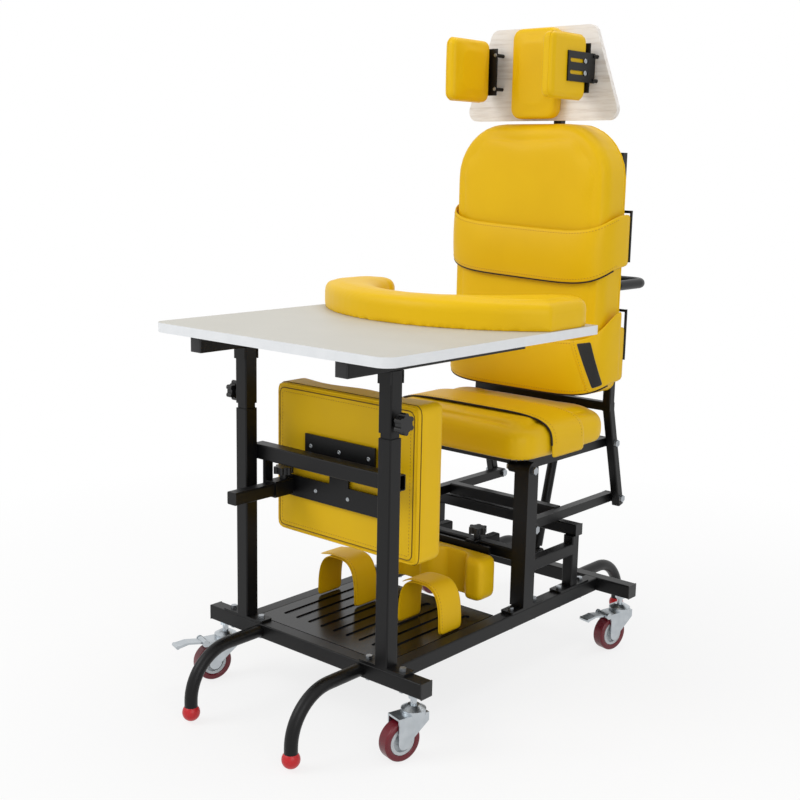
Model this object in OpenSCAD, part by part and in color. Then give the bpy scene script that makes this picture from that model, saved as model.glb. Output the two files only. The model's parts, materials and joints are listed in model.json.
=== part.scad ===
// Sit-to-stand standing frame on four casters.
// Millimetres. +X to the right as seen from the front, +Y to the rear, +Z up, origin on the floor
// under the middle of the base.

/* [Base] */
// Overall length of the base, front face to rear face
base_l = 736; // [700:1:800]
// Length of each cross tube with its end caps
cross_l = 570; // [540:1:600]
// Outside width over the two side rails
rail_span = 404; // [390:1:420]
// Height of the underside of the base tubes above the floor
base_z = 118; // [114:1:130]
// Width of the square base tube
tube = 30; // [28:1:34]
// Wall thickness of the square tubes
tube_wall = 2; // [1.5:0.1:2.2]

/* [Casters] */
// Diameter of the caster wheel
wheel_d = 75; // [70:1:77]
// Width of the caster tread
wheel_w = 26; // [22:1:27]
// Distance of the axle behind the swivel axis
trail = 30; // [24:1:34]
// Distance of each stem from the end of its cross tube
stem_inset = 30; // [26:1:40]
// Diameter of the threaded stem
stem_d = 12; // [10:1:13]
// Diameter of the axle
axle_d = 8; // [6:1:10]
// Length of the brake pedal behind its hinge
pedal_l = 58; // [50:1:60]

/* [Anti-tip legs] */
// Diameter of the bent leg tube
leg_d = 25; // [22:1:28]
// Distance of each leg from the middle of the frame
leg_x = 136; // [120:1:145]
// Reach of the leg tip beyond the cross tube
leg_reach = 174; // [150:1:190]
// Bend radius of the leg, on its centre line
leg_curve_r = 92; // [80:1:100]
// Diameter of the ball tip
tip_d = 34; // [30:1:38]
// Gap between the ball tip and the floor
tip_gap = 3; // [2:0.5:8]

/* [Footplate and straps] */
// Length of the footplate, front to rear
plate_l = 330; // [325:1:345]
// Thickness of the footplate
plate_t = 4; // [3:0.5:6]
// Number of pressed grooves in the footplate
groove_n = 9; // [7:1:9]
// Width of one groove
groove_w = 14; // [10:1:16]
// Length of one groove
groove_l = 250; // [200:1:260]
// Distance of each foot strap from the middle of the frame
strap_x = 112; // [108:1:114]
// Width of the foot strap's arch over the foot
strap_span = 104; // [90:1:108]
// Width of the foot strap along the foot
strap_w = 58; // [50:1:70]
// Height of the foot strap above the footplate
strap_h = 94; // [80:1:100]

/* [Front posts and tray] */
// Height of the top of the front posts
front_post_top = 575; // [560:1:585]
// Gap between the post and the tray sleeve at its lowest setting
sleeve_gap = 10; // [6:1:14]
// Height of the underside of the tray
tray_z = 726; // [715:1:740]
// Width of the tray
tray_w = 600; // [600:1:620]
// Depth of the tray, front to rear
tray_l = 620; // [600:1:622]
// Thickness of the tray board
tray_t = 18; // [15:1:22]
// Distance of the tray's front edge ahead of the base
tray_front = 122; // [110:1:130]
// Radius of the tray's front corners
tray_corner = 28; // [15:1:40]
// Radius of the body cut-out in the tray
cutout_r = 200; // [198:1:202]
// Width of the bolster's arms beside the cut-out
bolster_w = 97; // [80:1:98]
// Width of the bolster in front of the cut-out
bolster_nose = 80; // [70:1:90]
// Radius of the bolster's front edge
bolster_curve_r = 400; // [380:1:450]
// Height of the bolster
bolster_h = 58; // [45:1:60]
// Length of the tray rails
tray_rail_l = 500; // [480:1:510]

/* [Knee pad] */
// Width of the knee pad
knee_w = 364; // [350:1:370]
// Height of the knee pad
knee_h = 306; // [290:1:312]
// Thickness of the knee pad
knee_t = 79; // [70:1:84]
// Height of the underside of the knee pad
knee_z = 316; // [312:1:325]
// Distance of the pad's front face behind the front of the base
knee_setback = 91; // [89:1:96]
// Depth of each knee hollow
knee_hollow = 20; // [10:1:24]

/* [Calf pad] */
// Width of the calf pad
calf_w = 300; // [280:1:310]
// Height of the calf pad
calf_h = 95; // [85:1:97]
// Thickness of the calf pad
calf_t = 44; // [38:1:46]
// Distance of each calf slide from the middle
calf_x = 65; // [60:1:72]
// Depth of each calf hollow
calf_hollow = 18; // [8:1:18]

/* [Seat linkage] */
// Width of the main posts
main_post = 35; // [34:0.5:36]
// Distance of the main posts' centre line behind the front of the base
main_setback = 441; // [436:1:446]
// Height of the seat pivot
pivot_z = 442; // [438:1:446]
// Length of the seat link and of the lower link
link_l = 340; // [336:1:344]
// Height of the seat pivot above the lower pivot
pivot_drop = 135; // [130:1:138]
// Distance of the lower pivot behind the seat pivot
pivot_shift = 36; // [34:1:38]
// Width of the tubes of the seat, the links and the backrest
small_tube = 20; // [19:0.5:20]
// Diameter of the pivot bolts
bolt_d = 10; // [8:0.5:10]

/* [Seat and backrest] */
// Width of the seat cushion
seat_w = 424; // [400:1:430]
// Depth of the seat cushion
seat_l = 340; // [320:1:345]
// Thickness of the seat cushion at its edge
seat_t = 62; // [50:1:66]
// Crown of the seat cushion
seat_crown = 18; // [8:1:20]
// Distance of the seat's front edge ahead of the seat pivot
seat_nose = 51; // [45:1:54]
// Width of the backrest pad
back_w = 394; // [380:1:394]
// Height of the backrest pad
back_h = 583; // [560:1:590]
// Thickness of the backrest pad
back_t = 84; // [70:1:86]
// Height of the underside of the backrest pad
back_z = 561; // [558:1:570]
// Crown of the backrest pad
back_crown = 8; // [4:1:10]
// Radius of the backrest's upper corners
back_corner = 118; // [90:1:130]
// Distance of the uprights behind the main posts, above the bend
upright_setback = 317; // [315:1:319]
// Height of the bend in the uprights
bend_z = 528; // [524:1:532]
// Height of the top of the uprights
upright_top = 1080; // [1050:1:1095]
// Height of the belt strap on the chest
chest_h = 112; // [90:1:120]
// Height of the belt strap on the hips
hip_h = 120; // [100:1:125]
// Reach of the push handle behind the uprights
handle_reach = 122; // [110:1:130]
// Height of the push handle
handle_z = 795; // [780:1:810]
// Diameter of the push handle tube
handle_d = 22; // [20:1:25]

/* [Strut] */
// Length of the strut between its pivots
strut_l = 372; // [371:1:374]
// Distance of the strut to the right of the middle
strut_x = 30; // [26:1:34]
// Diameter of the strut tube
strut_d = 22; // [20:1:24]
// Diameter of the strut rod
rod_d = 10; // [8:1:12]
// Lean of the strut from upright, in degrees
strut_lean = 14; // [13.5:0.1:14.5]

/* [Headrest] */
// Width of the headrest board at its top
head_top_w = 278; // [260:1:290]
// Width of the headrest board at its bottom
head_low_w = 388; // [370:1:400]
// Height of the headrest board
head_h = 196; // [185:1:205]
// Thickness of the headrest board
head_t = 12; // [9:1:15]
// Width of the headrest's middle pad
head_pad_w = 124; // [100:1:130]
// Thickness of the headrest's middle pad
head_pad_t = 36; // [28:1:40]
// Length of a side pad, front to rear
side_l = 120; // [110:1:124]
// Height of a side pad
side_h = 136; // [120:1:140]
// Thickness of a side pad
side_t = 33; // [28:1:36]
// Distance between the side pads
side_gap = 212; // [204:1:216]

/* [Hidden] */
$fn = 48;

// Shared clearances and small sizes
over = 1;            // overrun of every cut
run_fit = 0.05;      // radial clearance of a running pin
slide_fit = 0.3;     // clearance of a sliding tube, each side
soft_gap = 0.5;      // clearance round a soft piece
open_fit = 0.3;      // radial clearance of the linkage's open pivot
washer_t = 2;        // washer between two pivoting tubes
corner_r = 3;        // outside corner radius of a square tube
min_r = 2;           // least corner radius of a cushion outline
flange_t = 5;        // foot flange thickness
flange_l = 112;      // foot flange length
flange_hole = 41;    // foot flange bolt, from the post's centre line
m8 = 8;              // foot bolt diameter
m8_af = 13;          // foot bolt hexagon across corners
m8_head = 6;         // foot bolt head and nut height

// Places along the frame
y_front = -base_l / 2;
y_rear = base_l / 2;
base_top = base_z + tube;
base_mid = base_z + tube / 2;
rail_x = (rail_span - tube) / 2;
rail_in = rail_span / 2 - tube;
front_y = y_front + tube / 2;
rear_y = y_rear - tube / 2;
stem_x = cross_l / 2 - stem_inset;
main_y = y_front + main_setback;
main_x = (rail_span - main_post) / 2;
main_in = rail_span / 2 - main_post;
small_x = main_in - washer_t - small_tube / 2;   // seat tubes and links
upright_x = main_in + small_tube / 2;            // uprights, in line with the posts
low_y = main_y + pivot_shift;
low_z = pivot_z - pivot_drop;
hip_y = main_y + link_l;
heel_y = hip_y + pivot_shift;
upright_y = main_y + upright_setback;
pin_hole = bolt_d + 2 * run_fit;

// Casters: side, end, swing angle of the trailing direction, braked or not
casters = [
    [-1, -1, 253, true],
    [1, -1, 256, false],
    [-1, 1, 256, false],
    [1, 1, 258, true]
];
wheel_r = wheel_d / 2;
hub_d = 51;
fork_t = 3;
fork_gap = 2;                        // fork leg to hub boss and tread
fork_in = wheel_w / 2 + fork_gap;
crown_clear = 6;                     // wheel top to fork crown
crown_z = wheel_d + crown_clear;
crown_t = 4;
race_d = 46;
race_h = 6;
race_gap = 0.4;
race_z = crown_z + crown_t + race_h;
cap_h = 7;
nut_h = 7;
nut_d = 22;
rivet_d = 20;
rivet_h = 4;
stem_up = 14;                        // stem length inside the cross tube
boss_r = 13;

// Rounded rectangle with true arcs
module soft_square(w, h, r) {
    square([w - 2 * r, h], center = true);
    square([w, h - 2 * r], center = true);
    for (sx = [-1, 1], sy = [-1, 1])
        translate([sx * (w / 2 - r), sy * (h / 2 - r)]) circle(r);
}

module tube_profile(w, h) {
    difference() {
        soft_square(w, h, corner_r);
        soft_square(w - 2 * tube_wall, h - 2 * tube_wall, corner_r - tube_wall / 2);
    }
}

// Square tubes centred at the origin along each axis
module tube_x(l, w) { rotate([90, 0, 90]) linear_extrude(height = l, center = true) tube_profile(w, w); }
module tube_y(l, w) { rotate([90, 0, 0]) linear_extrude(height = l, center = true) tube_profile(w, w); }
module tube_z(l, w) { linear_extrude(height = l) tube_profile(w, w); }
module bar_x(l, w, h) {
    rotate([90, 0, 90]) linear_extrude(height = l, center = true) soft_square(w, h, corner_r);
}
module bar_y(l, w, h) {
    rotate([90, 0, 0]) linear_extrude(height = l, center = true) soft_square(w, h, corner_r);
}
module bar_z(l, w, h) { linear_extrude(height = l) soft_square(w, h, corner_r); }
module rod_x(l, d) { rotate([0, 90, 0]) cylinder(h = l, d = d, center = true); }
module rod_y(l, d) { rotate([90, 0, 0]) cylinder(h = l, d = d, center = true); }
module sides() { for (s = [-1, 1]) mirror([s < 0 ? 1 : 0, 0, 0]) children(); }

// Hexagon bolt or nut along +Z
module hex(d, h) { cylinder(h = h, d = d, $fn = 6); }

// Foot flange with two bolt holes, lying along Y
module flange(w) {
    difference() {
        linear_extrude(height = flange_t) soft_square(w, flange_l, corner_r);
        for (s = [-1, 1])
            translate([0, s * flange_hole, -over]) cylinder(h = flange_t + 2 * over, d = m8 + 2 * run_fit);
    }
}

// Closed solid through rings of equally many points, listed from the bottom up
function ring_faces(n, m, caps) = concat(
    caps,
    [for (k = [0 : m - 2], i = [0 : n - 1]) [k * n + i, (k + 1) * n + i, (k + 1) * n + (i + 1) % n]],
    [for (k = [0 : m - 2], i = [0 : n - 1]) [k * n + i, (k + 1) * n + (i + 1) % n, k * n + (i + 1) % n]],
    [for (f = caps) [for (j = [len(f) - 1 : -1 : 0]) (m - 1) * n + f[j]]]
);
module rings(list, caps = []) {
    n = len(list[0]);
    whole = [[for (i = [0 : n - 1]) i]];
    polyhedron(
        points = [for (ring = list) each ring],
        faces = ring_faces(n, len(list), len(caps) > 0 ? caps : whole)
    );
}

// Cushion outline: rounded corners, straight sides drawn in between them
arc_n = 5;
side_n = 3;
draw_share = 0.018;
function corner(cx, cy, r, a) =
    [for (j = [0 : arc_n]) [cx + r * cos(a + 90 * j / arc_n), cy + r * sin(a + 90 * j / arc_n)]];
function between(a, b, n) = [for (j = [1 : n]) a + (b - a) * j / (n + 1)];
function drawn(p, w, l) = [
    p.x * (1 - draw_share * max(0, 1 - pow(2 * p.y / l, 2))),
    p.y * (1 - draw_share * max(0, 1 - pow(2 * p.x / w, 2)))
];
function outline(w, l, rf, rr, long_n = side_n) =
    let (c = [
        corner(w / 2 - rf, rf - l / 2, rf, -90),
        corner(w / 2 - rr, l / 2 - rr, rr, 0),
        corner(rr - w / 2, l / 2 - rr, rr, 90),
        corner(rf - w / 2, rf - l / 2, rf, 180)
    ])
    [for (q = [0 : 3])
        each concat(c[q], between(c[q][arc_n], c[(q + 1) % 4][0], q % 2 == 0 ? side_n : long_n))];
function inset_ring(w, l, rf, rr, d, z) =
    [for (p = outline(w - 2 * d, l - 2 * d, max(rf - d, min_r), max(rr - d, min_r)))
        let (q = drawn(p, w, l)) [q.x, q.y, z]];

// Crowned cushion lying on z = 0: edge rounding, then the crown in shares of the half width
round_shares = [[1, 0], [0.3, 0.25], [0, 0.9]];
crown_shares = [[0.3, 0.55], [0.6, 0.88], [0.86, 1]];
module cushion(w, l, t, crown, edge, rf, rr) {
    half = min(w, l) / 2;
    low = [for (s = round_shares) [s[0] * edge, s[1] * edge]];
    high = [for (k = [len(round_shares) - 1 : -1 : 0])
        [round_shares[k][0] * edge, t - round_shares[k][1] * edge]];
    top = [for (s = crown_shares) [edge + s[0] * (half - edge), t + s[1] * crown]];
    rings([for (s = concat(low, high, top)) inset_ring(w, l, rf, rr, s[0], s[1])]);
}

// Strap along an arched path, with its width along the given axis
arch_n = 28;
arch_share = 0.4;
function arch(a, b, e = arch_share) = [for (i = [0 : arch_n]) let (f = 180 * i / arch_n)
    [a * sign(cos(f)) * pow(abs(cos(f)), e), b * pow(max(sin(f), 0), e)]];
function tangent(p, i) = let (d = p[min(i + 1, arch_n)] - p[max(i - 1, 0)]) d / norm(d);

// Strap round the front of a pad: path in X and Y, width along Z, its middle hanging by sag
module belt(a, b, t, h, sag) {
    path = [for (p = arch(a, b)) [p.x, -p.y]];
    rings([for (i = [0 : arch_n])
        let (d = tangent(path, i), n = [-d.y, d.x] * t / 2, p = path[i], z = -sag * sin(180 * i / arch_n))
        [[p.x - n.x, p.y - n.y, z - h / 2], [p.x + n.x, p.y + n.y, z - h / 2],
         [p.x + n.x, p.y + n.y, z + h / 2], [p.x - n.x, p.y - n.y, z + h / 2]]]);
}

// Strap over a pad or a foot: path in X and Z, width along Y
module over_strap(a, b, t, w, e = arch_share) {
    path = arch(a, b, e);
    rings([for (i = [0 : arch_n])
        let (d = tangent(path, i), n = [d.y, -d.x] * t / 2, p = path[i])
        [[p.x - n.x, -w / 2, p.y - n.y], [p.x + n.x, -w / 2, p.y + n.y],
         [p.x + n.x, w / 2, p.y + n.y], [p.x - n.x, w / 2, p.y - n.y]]]);
}

// Base

cap_t = 2;
cap_share = 0.22;
cap_in = (cross_l / 2 - rail_x - flange_hole - m8 / 2) * cap_share;   // plug, clear of the foot bolts
clevis_t = 6;
clevis_r = 14;
eye_gap = 0.5;
strut_drop = 2;                        // strut's upper pivot below the bend in the uprights
strut_head = 48;                       // strut's upper pivot behind the uprights' centre line
strut_top_z = bend_z - strut_drop;
strut_low_y = upright_y + strut_head - strut_l * sin(strut_lean);
strut_low_z = strut_top_z - strut_l * cos(strut_lean);
eye_t = 12;
clevis_out = eye_t / 2 + eye_gap + clevis_t;
module clevis_ear(y, z, root_z) {
    rotate([90, 0, 90]) linear_extrude(height = clevis_t, center = true) {
        translate([y, z]) circle(clevis_r);
        translate([y - clevis_r, root_z]) square([2 * clevis_r, z - root_z]);
    }
}

module cross_tubes() color("#1a1a1c") {
    for (e = [-1, 1]) difference() {
        union() {
            translate([0, e < 0 ? front_y : rear_y, base_mid]) tube_x(cross_l - 2 * cap_t, tube);
            if (e > 0) for (s = [-1, 1])
                translate([strut_x + s * (clevis_out - clevis_t / 2), 0, 0])
                    clevis_ear(strut_low_y, strut_low_z, base_top - tube_wall / 2);
        }
        for (s = [-1, 1])
            translate([s * stem_x, e < 0 ? front_y : rear_y, base_z - over])
                cylinder(h = stem_up, d = stem_d + 2 * run_fit);
        if (e < 0) for (s = [-1, 1], k = [-1, 1])
            translate([s * rail_x + k * flange_hole, front_y, base_z - over])
                cylinder(h = tube + 2 * over, d = m8 + 2 * run_fit);
        if (e > 0) translate([strut_x, strut_low_y, strut_low_z])
            rod_x(2 * eye_t + 2 * clevis_t, pin_hole);
    }
}

short_setback = 176;
short_y = main_y + short_setback;
short_tube = 25;
module side_rails() color("#1a1a1c") for (s = [-1, 1]) difference() {
    translate([s * rail_x, 0, base_mid]) tube_y(base_l - 2 * tube, tube);
    for (y = [main_y, short_y], k = [-1, 1])
        translate([s * rail_x, y + k * flange_hole, base_z - over])
            cylinder(h = tube + 2 * over, d = m8 + 2 * run_fit);
}

plate_lip = 16;
plate_margin = 42;
groove_share = 0.6;                    // depth of a groove, of the plate's thickness
module footplate() color("#2a2a2c") {
    y0 = y_front + tube;
    pitch = 2 * rail_in / (groove_n + 1);
    depth = plate_t * groove_share;
    difference() {
        union() {
            translate([-rail_in, y0, base_top - plate_t]) cube([2 * rail_in, plate_l, plate_t]);
            translate([-rail_in, y0 + plate_l - plate_t, base_top - plate_lip])
                cube([2 * rail_in, plate_t, plate_lip]);
        }
        for (i = [1 : groove_n])
            translate([i * pitch - rail_in, y0 + plate_margin + groove_w / 2, base_top - depth])
                linear_extrude(height = depth + over) {
                    circle(d = groove_w);
                    translate([-groove_w / 2, 0]) square([groove_w, groove_l - groove_w]);
                    translate([0, groove_l - groove_w]) circle(d = groove_w);
                }
    }
}

tip_z = tip_d / 2 + tip_gap;
module leg() {
    run = leg_reach - leg_curve_r;
    drop = base_mid - leg_curve_r - tip_z;
    translate([0, -run / 2, base_mid]) rod_y(run, leg_d);
    translate([0, -run, base_mid - leg_curve_r]) rotate([90, 0, -90])
        rotate_extrude(angle = 90) translate([leg_curve_r, 0]) circle(d = leg_d);
    translate([0, -leg_reach, tip_z]) cylinder(h = drop, d = leg_d);
}
module each_leg() {
    sides() translate([leg_x, 0, 0]) {
        translate([0, y_front, 0]) children();
        mirror([0, 1, 0]) translate([0, y_front, 0]) children();
    }
}
module anti_tip_legs() color("#18181a") each_leg() leg();
module leg_tips() color("#c81e26") each_leg() translate([0, -leg_reach, tip_z]) difference() {
    sphere(d = tip_d);
    cylinder(h = tip_d, d = leg_d + 2 * run_fit);
}

module at_caster(c) {
    translate([c[0] * stem_x, c[1] < 0 ? front_y : rear_y, 0]) rotate([0, 0, c[2]]) children();
}
module caster_stems() color("#c4c8cc") for (c = casters) at_caster(c) {
    translate([0, 0, crown_z - rivet_h - race_gap]) {
        cylinder(h = rivet_h, d = rivet_d);
        cylinder(h = base_z + stem_up - crown_z, d = stem_d);
    }
    translate([0, 0, race_z + race_gap]) cylinder(h = cap_h, d1 = race_d, d2 = nut_d);
    translate([0, 0, base_z - nut_h]) hex(nut_d, nut_h);
}

pedal_t = 4;
pedal_w = 24;
pedal_pin = 6;
pedal_ear = 7;
pedal_gap = 0.6;
pedal_x = trail + boss_r + pedal_ear + pedal_gap;
pedal_z = crown_z + crown_t / 2;
fork_back = 22;
fork_skirt = 12;
module fork_leg(braked) {
    rotate([90, 0, 0]) linear_extrude(height = fork_t, center = true) {
        translate([trail, wheel_r]) circle(boss_r);
        if (braked) {
            translate([pedal_x, pedal_z]) circle(pedal_ear);
            translate([trail, pedal_z - pedal_ear]) square([pedal_x - trail, pedal_ear]);
        }
        polygon([
            [-fork_back, crown_z + crown_t], [trail + boss_r, crown_z + crown_t],
            [trail + boss_r, wheel_r], [trail - boss_r, wheel_r], [-fork_back, crown_z - fork_skirt]
        ]);
    }
}
module caster_fork(c) color("#b9bdc2") at_caster(c) difference() {
    union() {
        for (s = [-1, 1]) translate([0, s * (fork_in + fork_t / 2), 0]) fork_leg(c[3]);
        translate([-fork_back, -fork_in, crown_z]) cube([fork_back + trail + boss_r, 2 * fork_in, crown_t]);
        translate([0, 0, crown_z]) cylinder(h = crown_t + race_h, d = race_d);
        translate([trail, 0, wheel_r]) rod_y(2 * fork_in + over, axle_d);
    }
    translate([0, 0, crown_z - over]) cylinder(h = crown_t + race_h + 2 * over, d = stem_d + 2 * run_fit);
    translate([pedal_x, 0, pedal_z]) rod_y(4 * fork_in, pedal_pin + 2 * run_fit);
}

tread_round = 5;
hub_web = 10;
hub_rim = 6;
hub_boss = 20;
module caster_wheel(c) at_caster(c) translate([trail, 0, wheel_r]) rotate([90, 0, 0]) {
    color("#6d1420") rotate_extrude() difference() {
        translate([(wheel_r + hub_d / 2) / 2, 0])
            soft_square(wheel_r - hub_d / 2, wheel_w, min(tread_round, (wheel_r - hub_d / 2) / 3));
        translate([0, -wheel_w]) square([hub_d / 2 + run_fit, 2 * wheel_w]);
    }
    color("#8b8f94") difference() {
        union() {
            cylinder(h = hub_web, d = hub_d, center = true);
            difference() {
                cylinder(h = wheel_w - 2 * fork_gap, d = hub_d, center = true);
                cylinder(h = wheel_w, d = hub_d - 2 * hub_rim, center = true);
            }
            cylinder(h = wheel_w + fork_gap, d = hub_boss, center = true);
        }
        cylinder(h = 2 * wheel_w, d = axle_d + 2 * run_fit, center = true);
    }
}

pedal_rise_share = 0.12;
pedal_bend_share = 0.6;
module brake_pedal(c) color("#a9adb2") at_caster(c) translate([pedal_x, 0, pedal_z]) {
    rod_y(2 * fork_in - 2 * pedal_gap, 2 * pedal_pin);
    rod_y(2 * fork_in + 2 * fork_t, pedal_pin);
    rotate([90, 0, 0]) linear_extrude(height = pedal_w, center = true) polygon([
        [0, -pedal_t / 2], [pedal_l * pedal_bend_share, pedal_l * pedal_rise_share - pedal_t],
        [pedal_l, -pedal_t / 2], [pedal_l, pedal_t], [pedal_l * pedal_bend_share, pedal_l * pedal_rise_share],
        [0, pedal_t / 2]
    ]);
    translate([pedal_l, 0, pedal_t / 4]) rod_y(pedal_w, 2 * pedal_t);
}

// Posts

inner_tube = tube - 2 * tube_wall - 2 * slide_fit;
plug_l = 40;                           // solid top of a main post, round its pivot
slide_in = 120;                        // inner tube's length inside the post
inner_top = tray_z - tube - tube_wall;
module front_posts() color("#1a1a1c") for (s = [-1, 1]) translate([s * rail_x, front_y, 0]) {
    translate([0, 0, base_top + flange_t]) tube_z(front_post_top - base_top - flange_t, tube);
    translate([0, 0, base_top]) rotate([0, 0, 90]) flange(tube);
}

module tray_slides() color("#1a1a1c") for (s = [-1, 1])
    translate([s * rail_x, front_y, front_post_top - slide_in])
        tube_z(inner_top - front_post_top + slide_in, inner_tube);

module bolt_set(top) {
    translate([0, 0, top]) hex(m8_af, m8_head);
    translate([0, 0, base_z - m8_head]) hex(m8_af, m8_head);
    translate([0, 0, base_z - m8_head]) cylinder(h = top - base_z + m8_head, d = m8);
}
module base_bolts() color("#b4b8bc") for (s = [-1, 1], k = [-1, 1]) {
    translate([s * rail_x + k * flange_hole, front_y, 0]) bolt_set(base_top + flange_t);
    for (y = [main_y, short_y]) translate([s * rail_x, y + k * flange_hole, 0]) bolt_set(base_top + flange_t);
}

crossbar_z = 487;
knee_tube = 25;
knee_slide_x = -135;
knee_slide_z = 418;
sleeve_wall = 3;
hanger_t = 6;
hanger_l = 20;
sleeve_y0 = y_front + tube;
sleeve_l = 46;
sleeve_w = knee_tube + 2 * slide_fit + 2 * sleeve_wall;
knee_knob_back = 5;
knee_knob_y = sleeve_y0 + tube + knee_knob_back;
knob_stud = 8;
module front_crossbar() color("#1c1c1e") difference() {
    union() {
        translate([0, y_front + tube * 3 / 2, crossbar_z]) tube_x(rail_span - tube, tube);
        translate([knee_slide_x, sleeve_y0 + sleeve_l / 2, knee_slide_z]) bar_y(sleeve_l, sleeve_w, sleeve_w);
        translate([knee_slide_x - sleeve_w / 2 - hanger_t, sleeve_y0, knee_slide_z - sleeve_w / 2 + corner_r])
            cube([hanger_t + over, hanger_l, crossbar_z - knee_slide_z + sleeve_w / 2 - corner_r]);
    }
    translate([knee_slide_x, sleeve_y0 + sleeve_l / 2, knee_slide_z])
        bar_y(sleeve_l + 2 * over, knee_tube + 2 * slide_fit, knee_tube + 2 * slide_fit);
    translate([knee_slide_x, knee_knob_y, knee_slide_z]) cylinder(h = sleeve_w, d = knob_stud + 2 * run_fit);
}

lug_r = 14;
module main_posts() color("#1a1a1c") for (s = [-1, 1]) difference() {
    union() {
        translate([s * main_x, main_y, 0]) {
            rotate([90, 0, 90]) linear_extrude(height = main_post, center = true) {
                translate([0, pivot_z]) circle(d = main_post);
                translate([-main_post / 2, base_top + flange_t])
                    square([main_post, pivot_z - base_top - flange_t]);
            }
        }
        translate([s * rail_x, main_y, base_top]) flange(tube);
        translate([s * upright_x, 0, 0]) rotate([90, 0, 90])
            linear_extrude(height = small_tube, center = true) {
                translate([low_y, low_z]) circle(lug_r);
                translate([main_y, low_z - lug_r]) square([low_y - main_y, 2 * lug_r]);
            }
    }
    translate([s * main_x, main_y, base_top - over])
        bar_z(pivot_z - base_top - plug_l, main_post - 2 * tube_wall, main_post - 2 * tube_wall);
    translate([s * main_x, main_y, pivot_z]) rod_x(2 * main_post, pin_hole);
    translate([s * upright_x, low_y, low_z]) rod_x(2 * main_post, pin_hole);
}

bar_tube = 25;
calf_bar_z = 258;
calf_tube = 20;
calf_sleeve = calf_tube + 2 * slide_fit + 2 * sleeve_wall;
calf_sleeve_l = 52;
module calf_bar() color("#1c1c1e") difference() {
    union() {
        translate([0, main_y, calf_bar_z]) bar_x(2 * main_in, bar_tube, bar_tube);
        for (s = [-1, 1]) translate([s * calf_x, main_y, calf_bar_z])
            bar_y(calf_sleeve_l, calf_sleeve, calf_sleeve);
    }
    for (s = [-1, 1]) {
        translate([s * calf_x, main_y, calf_bar_z])
            bar_y(calf_sleeve_l + 2 * over, calf_tube + 2 * slide_fit, calf_tube + 2 * slide_fit);
        translate([s * calf_x, main_y, calf_bar_z]) cylinder(h = calf_sleeve, d = knob_stud + 2 * run_fit);
    }
}

stand_z = 265;
brace_z = 236;
module rear_stand() color("#1a1a1c") {
    for (s = [-1, 1]) {
        translate([s * rail_x, short_y, base_top]) flange(tube);
        translate([s * rail_x, short_y, base_top + flange_t])
            bar_z(stand_z - base_top - flange_t, short_tube, short_tube);
        y0 = main_y + main_post / 2;
        translate([s * rail_x, (y0 + short_y) / 2, brace_z]) bar_y(short_y - y0, short_tube, short_tube);
    }
    translate([0, short_y + short_tube / 4, stand_z + short_tube / 2])
        tube_x(rail_span - 2 * cap_t, short_tube);
}

// Feet

strap_t = 3;
strap_share = 0.62;                    // roundness of the strap's arch
strap_setback = 198;                   // strap's middle behind the footplate's front edge
module foot_straps() color("#e3b012") for (s = [-1, 1])
    translate([s * strap_x, y_front + tube + strap_setback, base_top + soft_gap])
        over_strap(strap_span / 2, strap_h, strap_t, strap_w, strap_share);

module cap(w) {
    cube([cap_t, w, w], center = true);
    translate([cap_t / 2, 0, 0]) rotate([90, 0, 90]) linear_extrude(height = cap_in)
        soft_square(w - 2 * tube_wall - slide_fit, w - 2 * tube_wall - slide_fit, corner_r - tube_wall / 2);
}
module tube_caps() color("#101012") sides() {
    for (y = [front_y, rear_y]) translate([cap_t / 2 - cross_l / 2, y, base_mid]) cap(tube);
    translate([cap_t / 2 - rail_span / 2, short_y + short_tube / 4, stand_z + short_tube / 2])
        cap(short_tube);
}

// Bolt from the outer face at x_out to the inner face at x_in, along X
bolt_head = 6;
bolt_hex = 17;
module pivot_bolt(x_out, x_in, d) {
    translate([(x_out + x_in) / 2, 0, 0]) rod_x(x_out - x_in, d);
    translate([x_out, 0, 0]) rotate([0, 90, 0]) hex(bolt_hex, bolt_head);
    translate([x_in - bolt_head, 0, 0]) rotate([0, 90, 0]) hex(bolt_hex, bolt_head);
}
small_in = small_x - small_tube / 2;
module pivot_bolts() color("#8d9196") {
    sides() {
        translate([0, main_y, pivot_z]) pivot_bolt(rail_span / 2, small_in, bolt_d);
        translate([0, low_y, low_z]) pivot_bolt(upright_x + small_tube / 2, small_in, bolt_d);
    }
    translate([strut_x, strut_low_y, strut_low_z]) pivot_bolt(clevis_out, -clevis_out, bolt_d);
}
module link_bolts() color("#8d9196") sides() {
    translate([0, hip_y, pivot_z]) pivot_bolt(upright_x + small_tube / 2, small_in, bolt_d);
    translate([0, heel_y, low_z]) pivot_bolt(upright_x + small_tube / 2, small_in, bolt_d);
}

// Star knob with its stud: the stud's tip at the origin, the knob towards +Z
knob_d = 40;
lobe_n = 6;
lobe_share = 0.24;
knob_h = 14;
knob_boss = 10;
module star_knob(stud) {
    cylinder(h = stud + knob_boss, d = knob_stud);
    translate([0, 0, stud]) cylinder(h = knob_boss, d = 2 * knob_stud);
    translate([0, 0, stud + knob_boss]) linear_extrude(height = knob_h) {
        circle(d = knob_d * (1 - lobe_share));
        for (i = [0 : lobe_n - 1]) rotate(360 * i / lobe_n)
            translate([knob_d * (1 - lobe_share) / 2, 0]) circle(d = knob_d * lobe_share);
    }
}

// Tray

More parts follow.
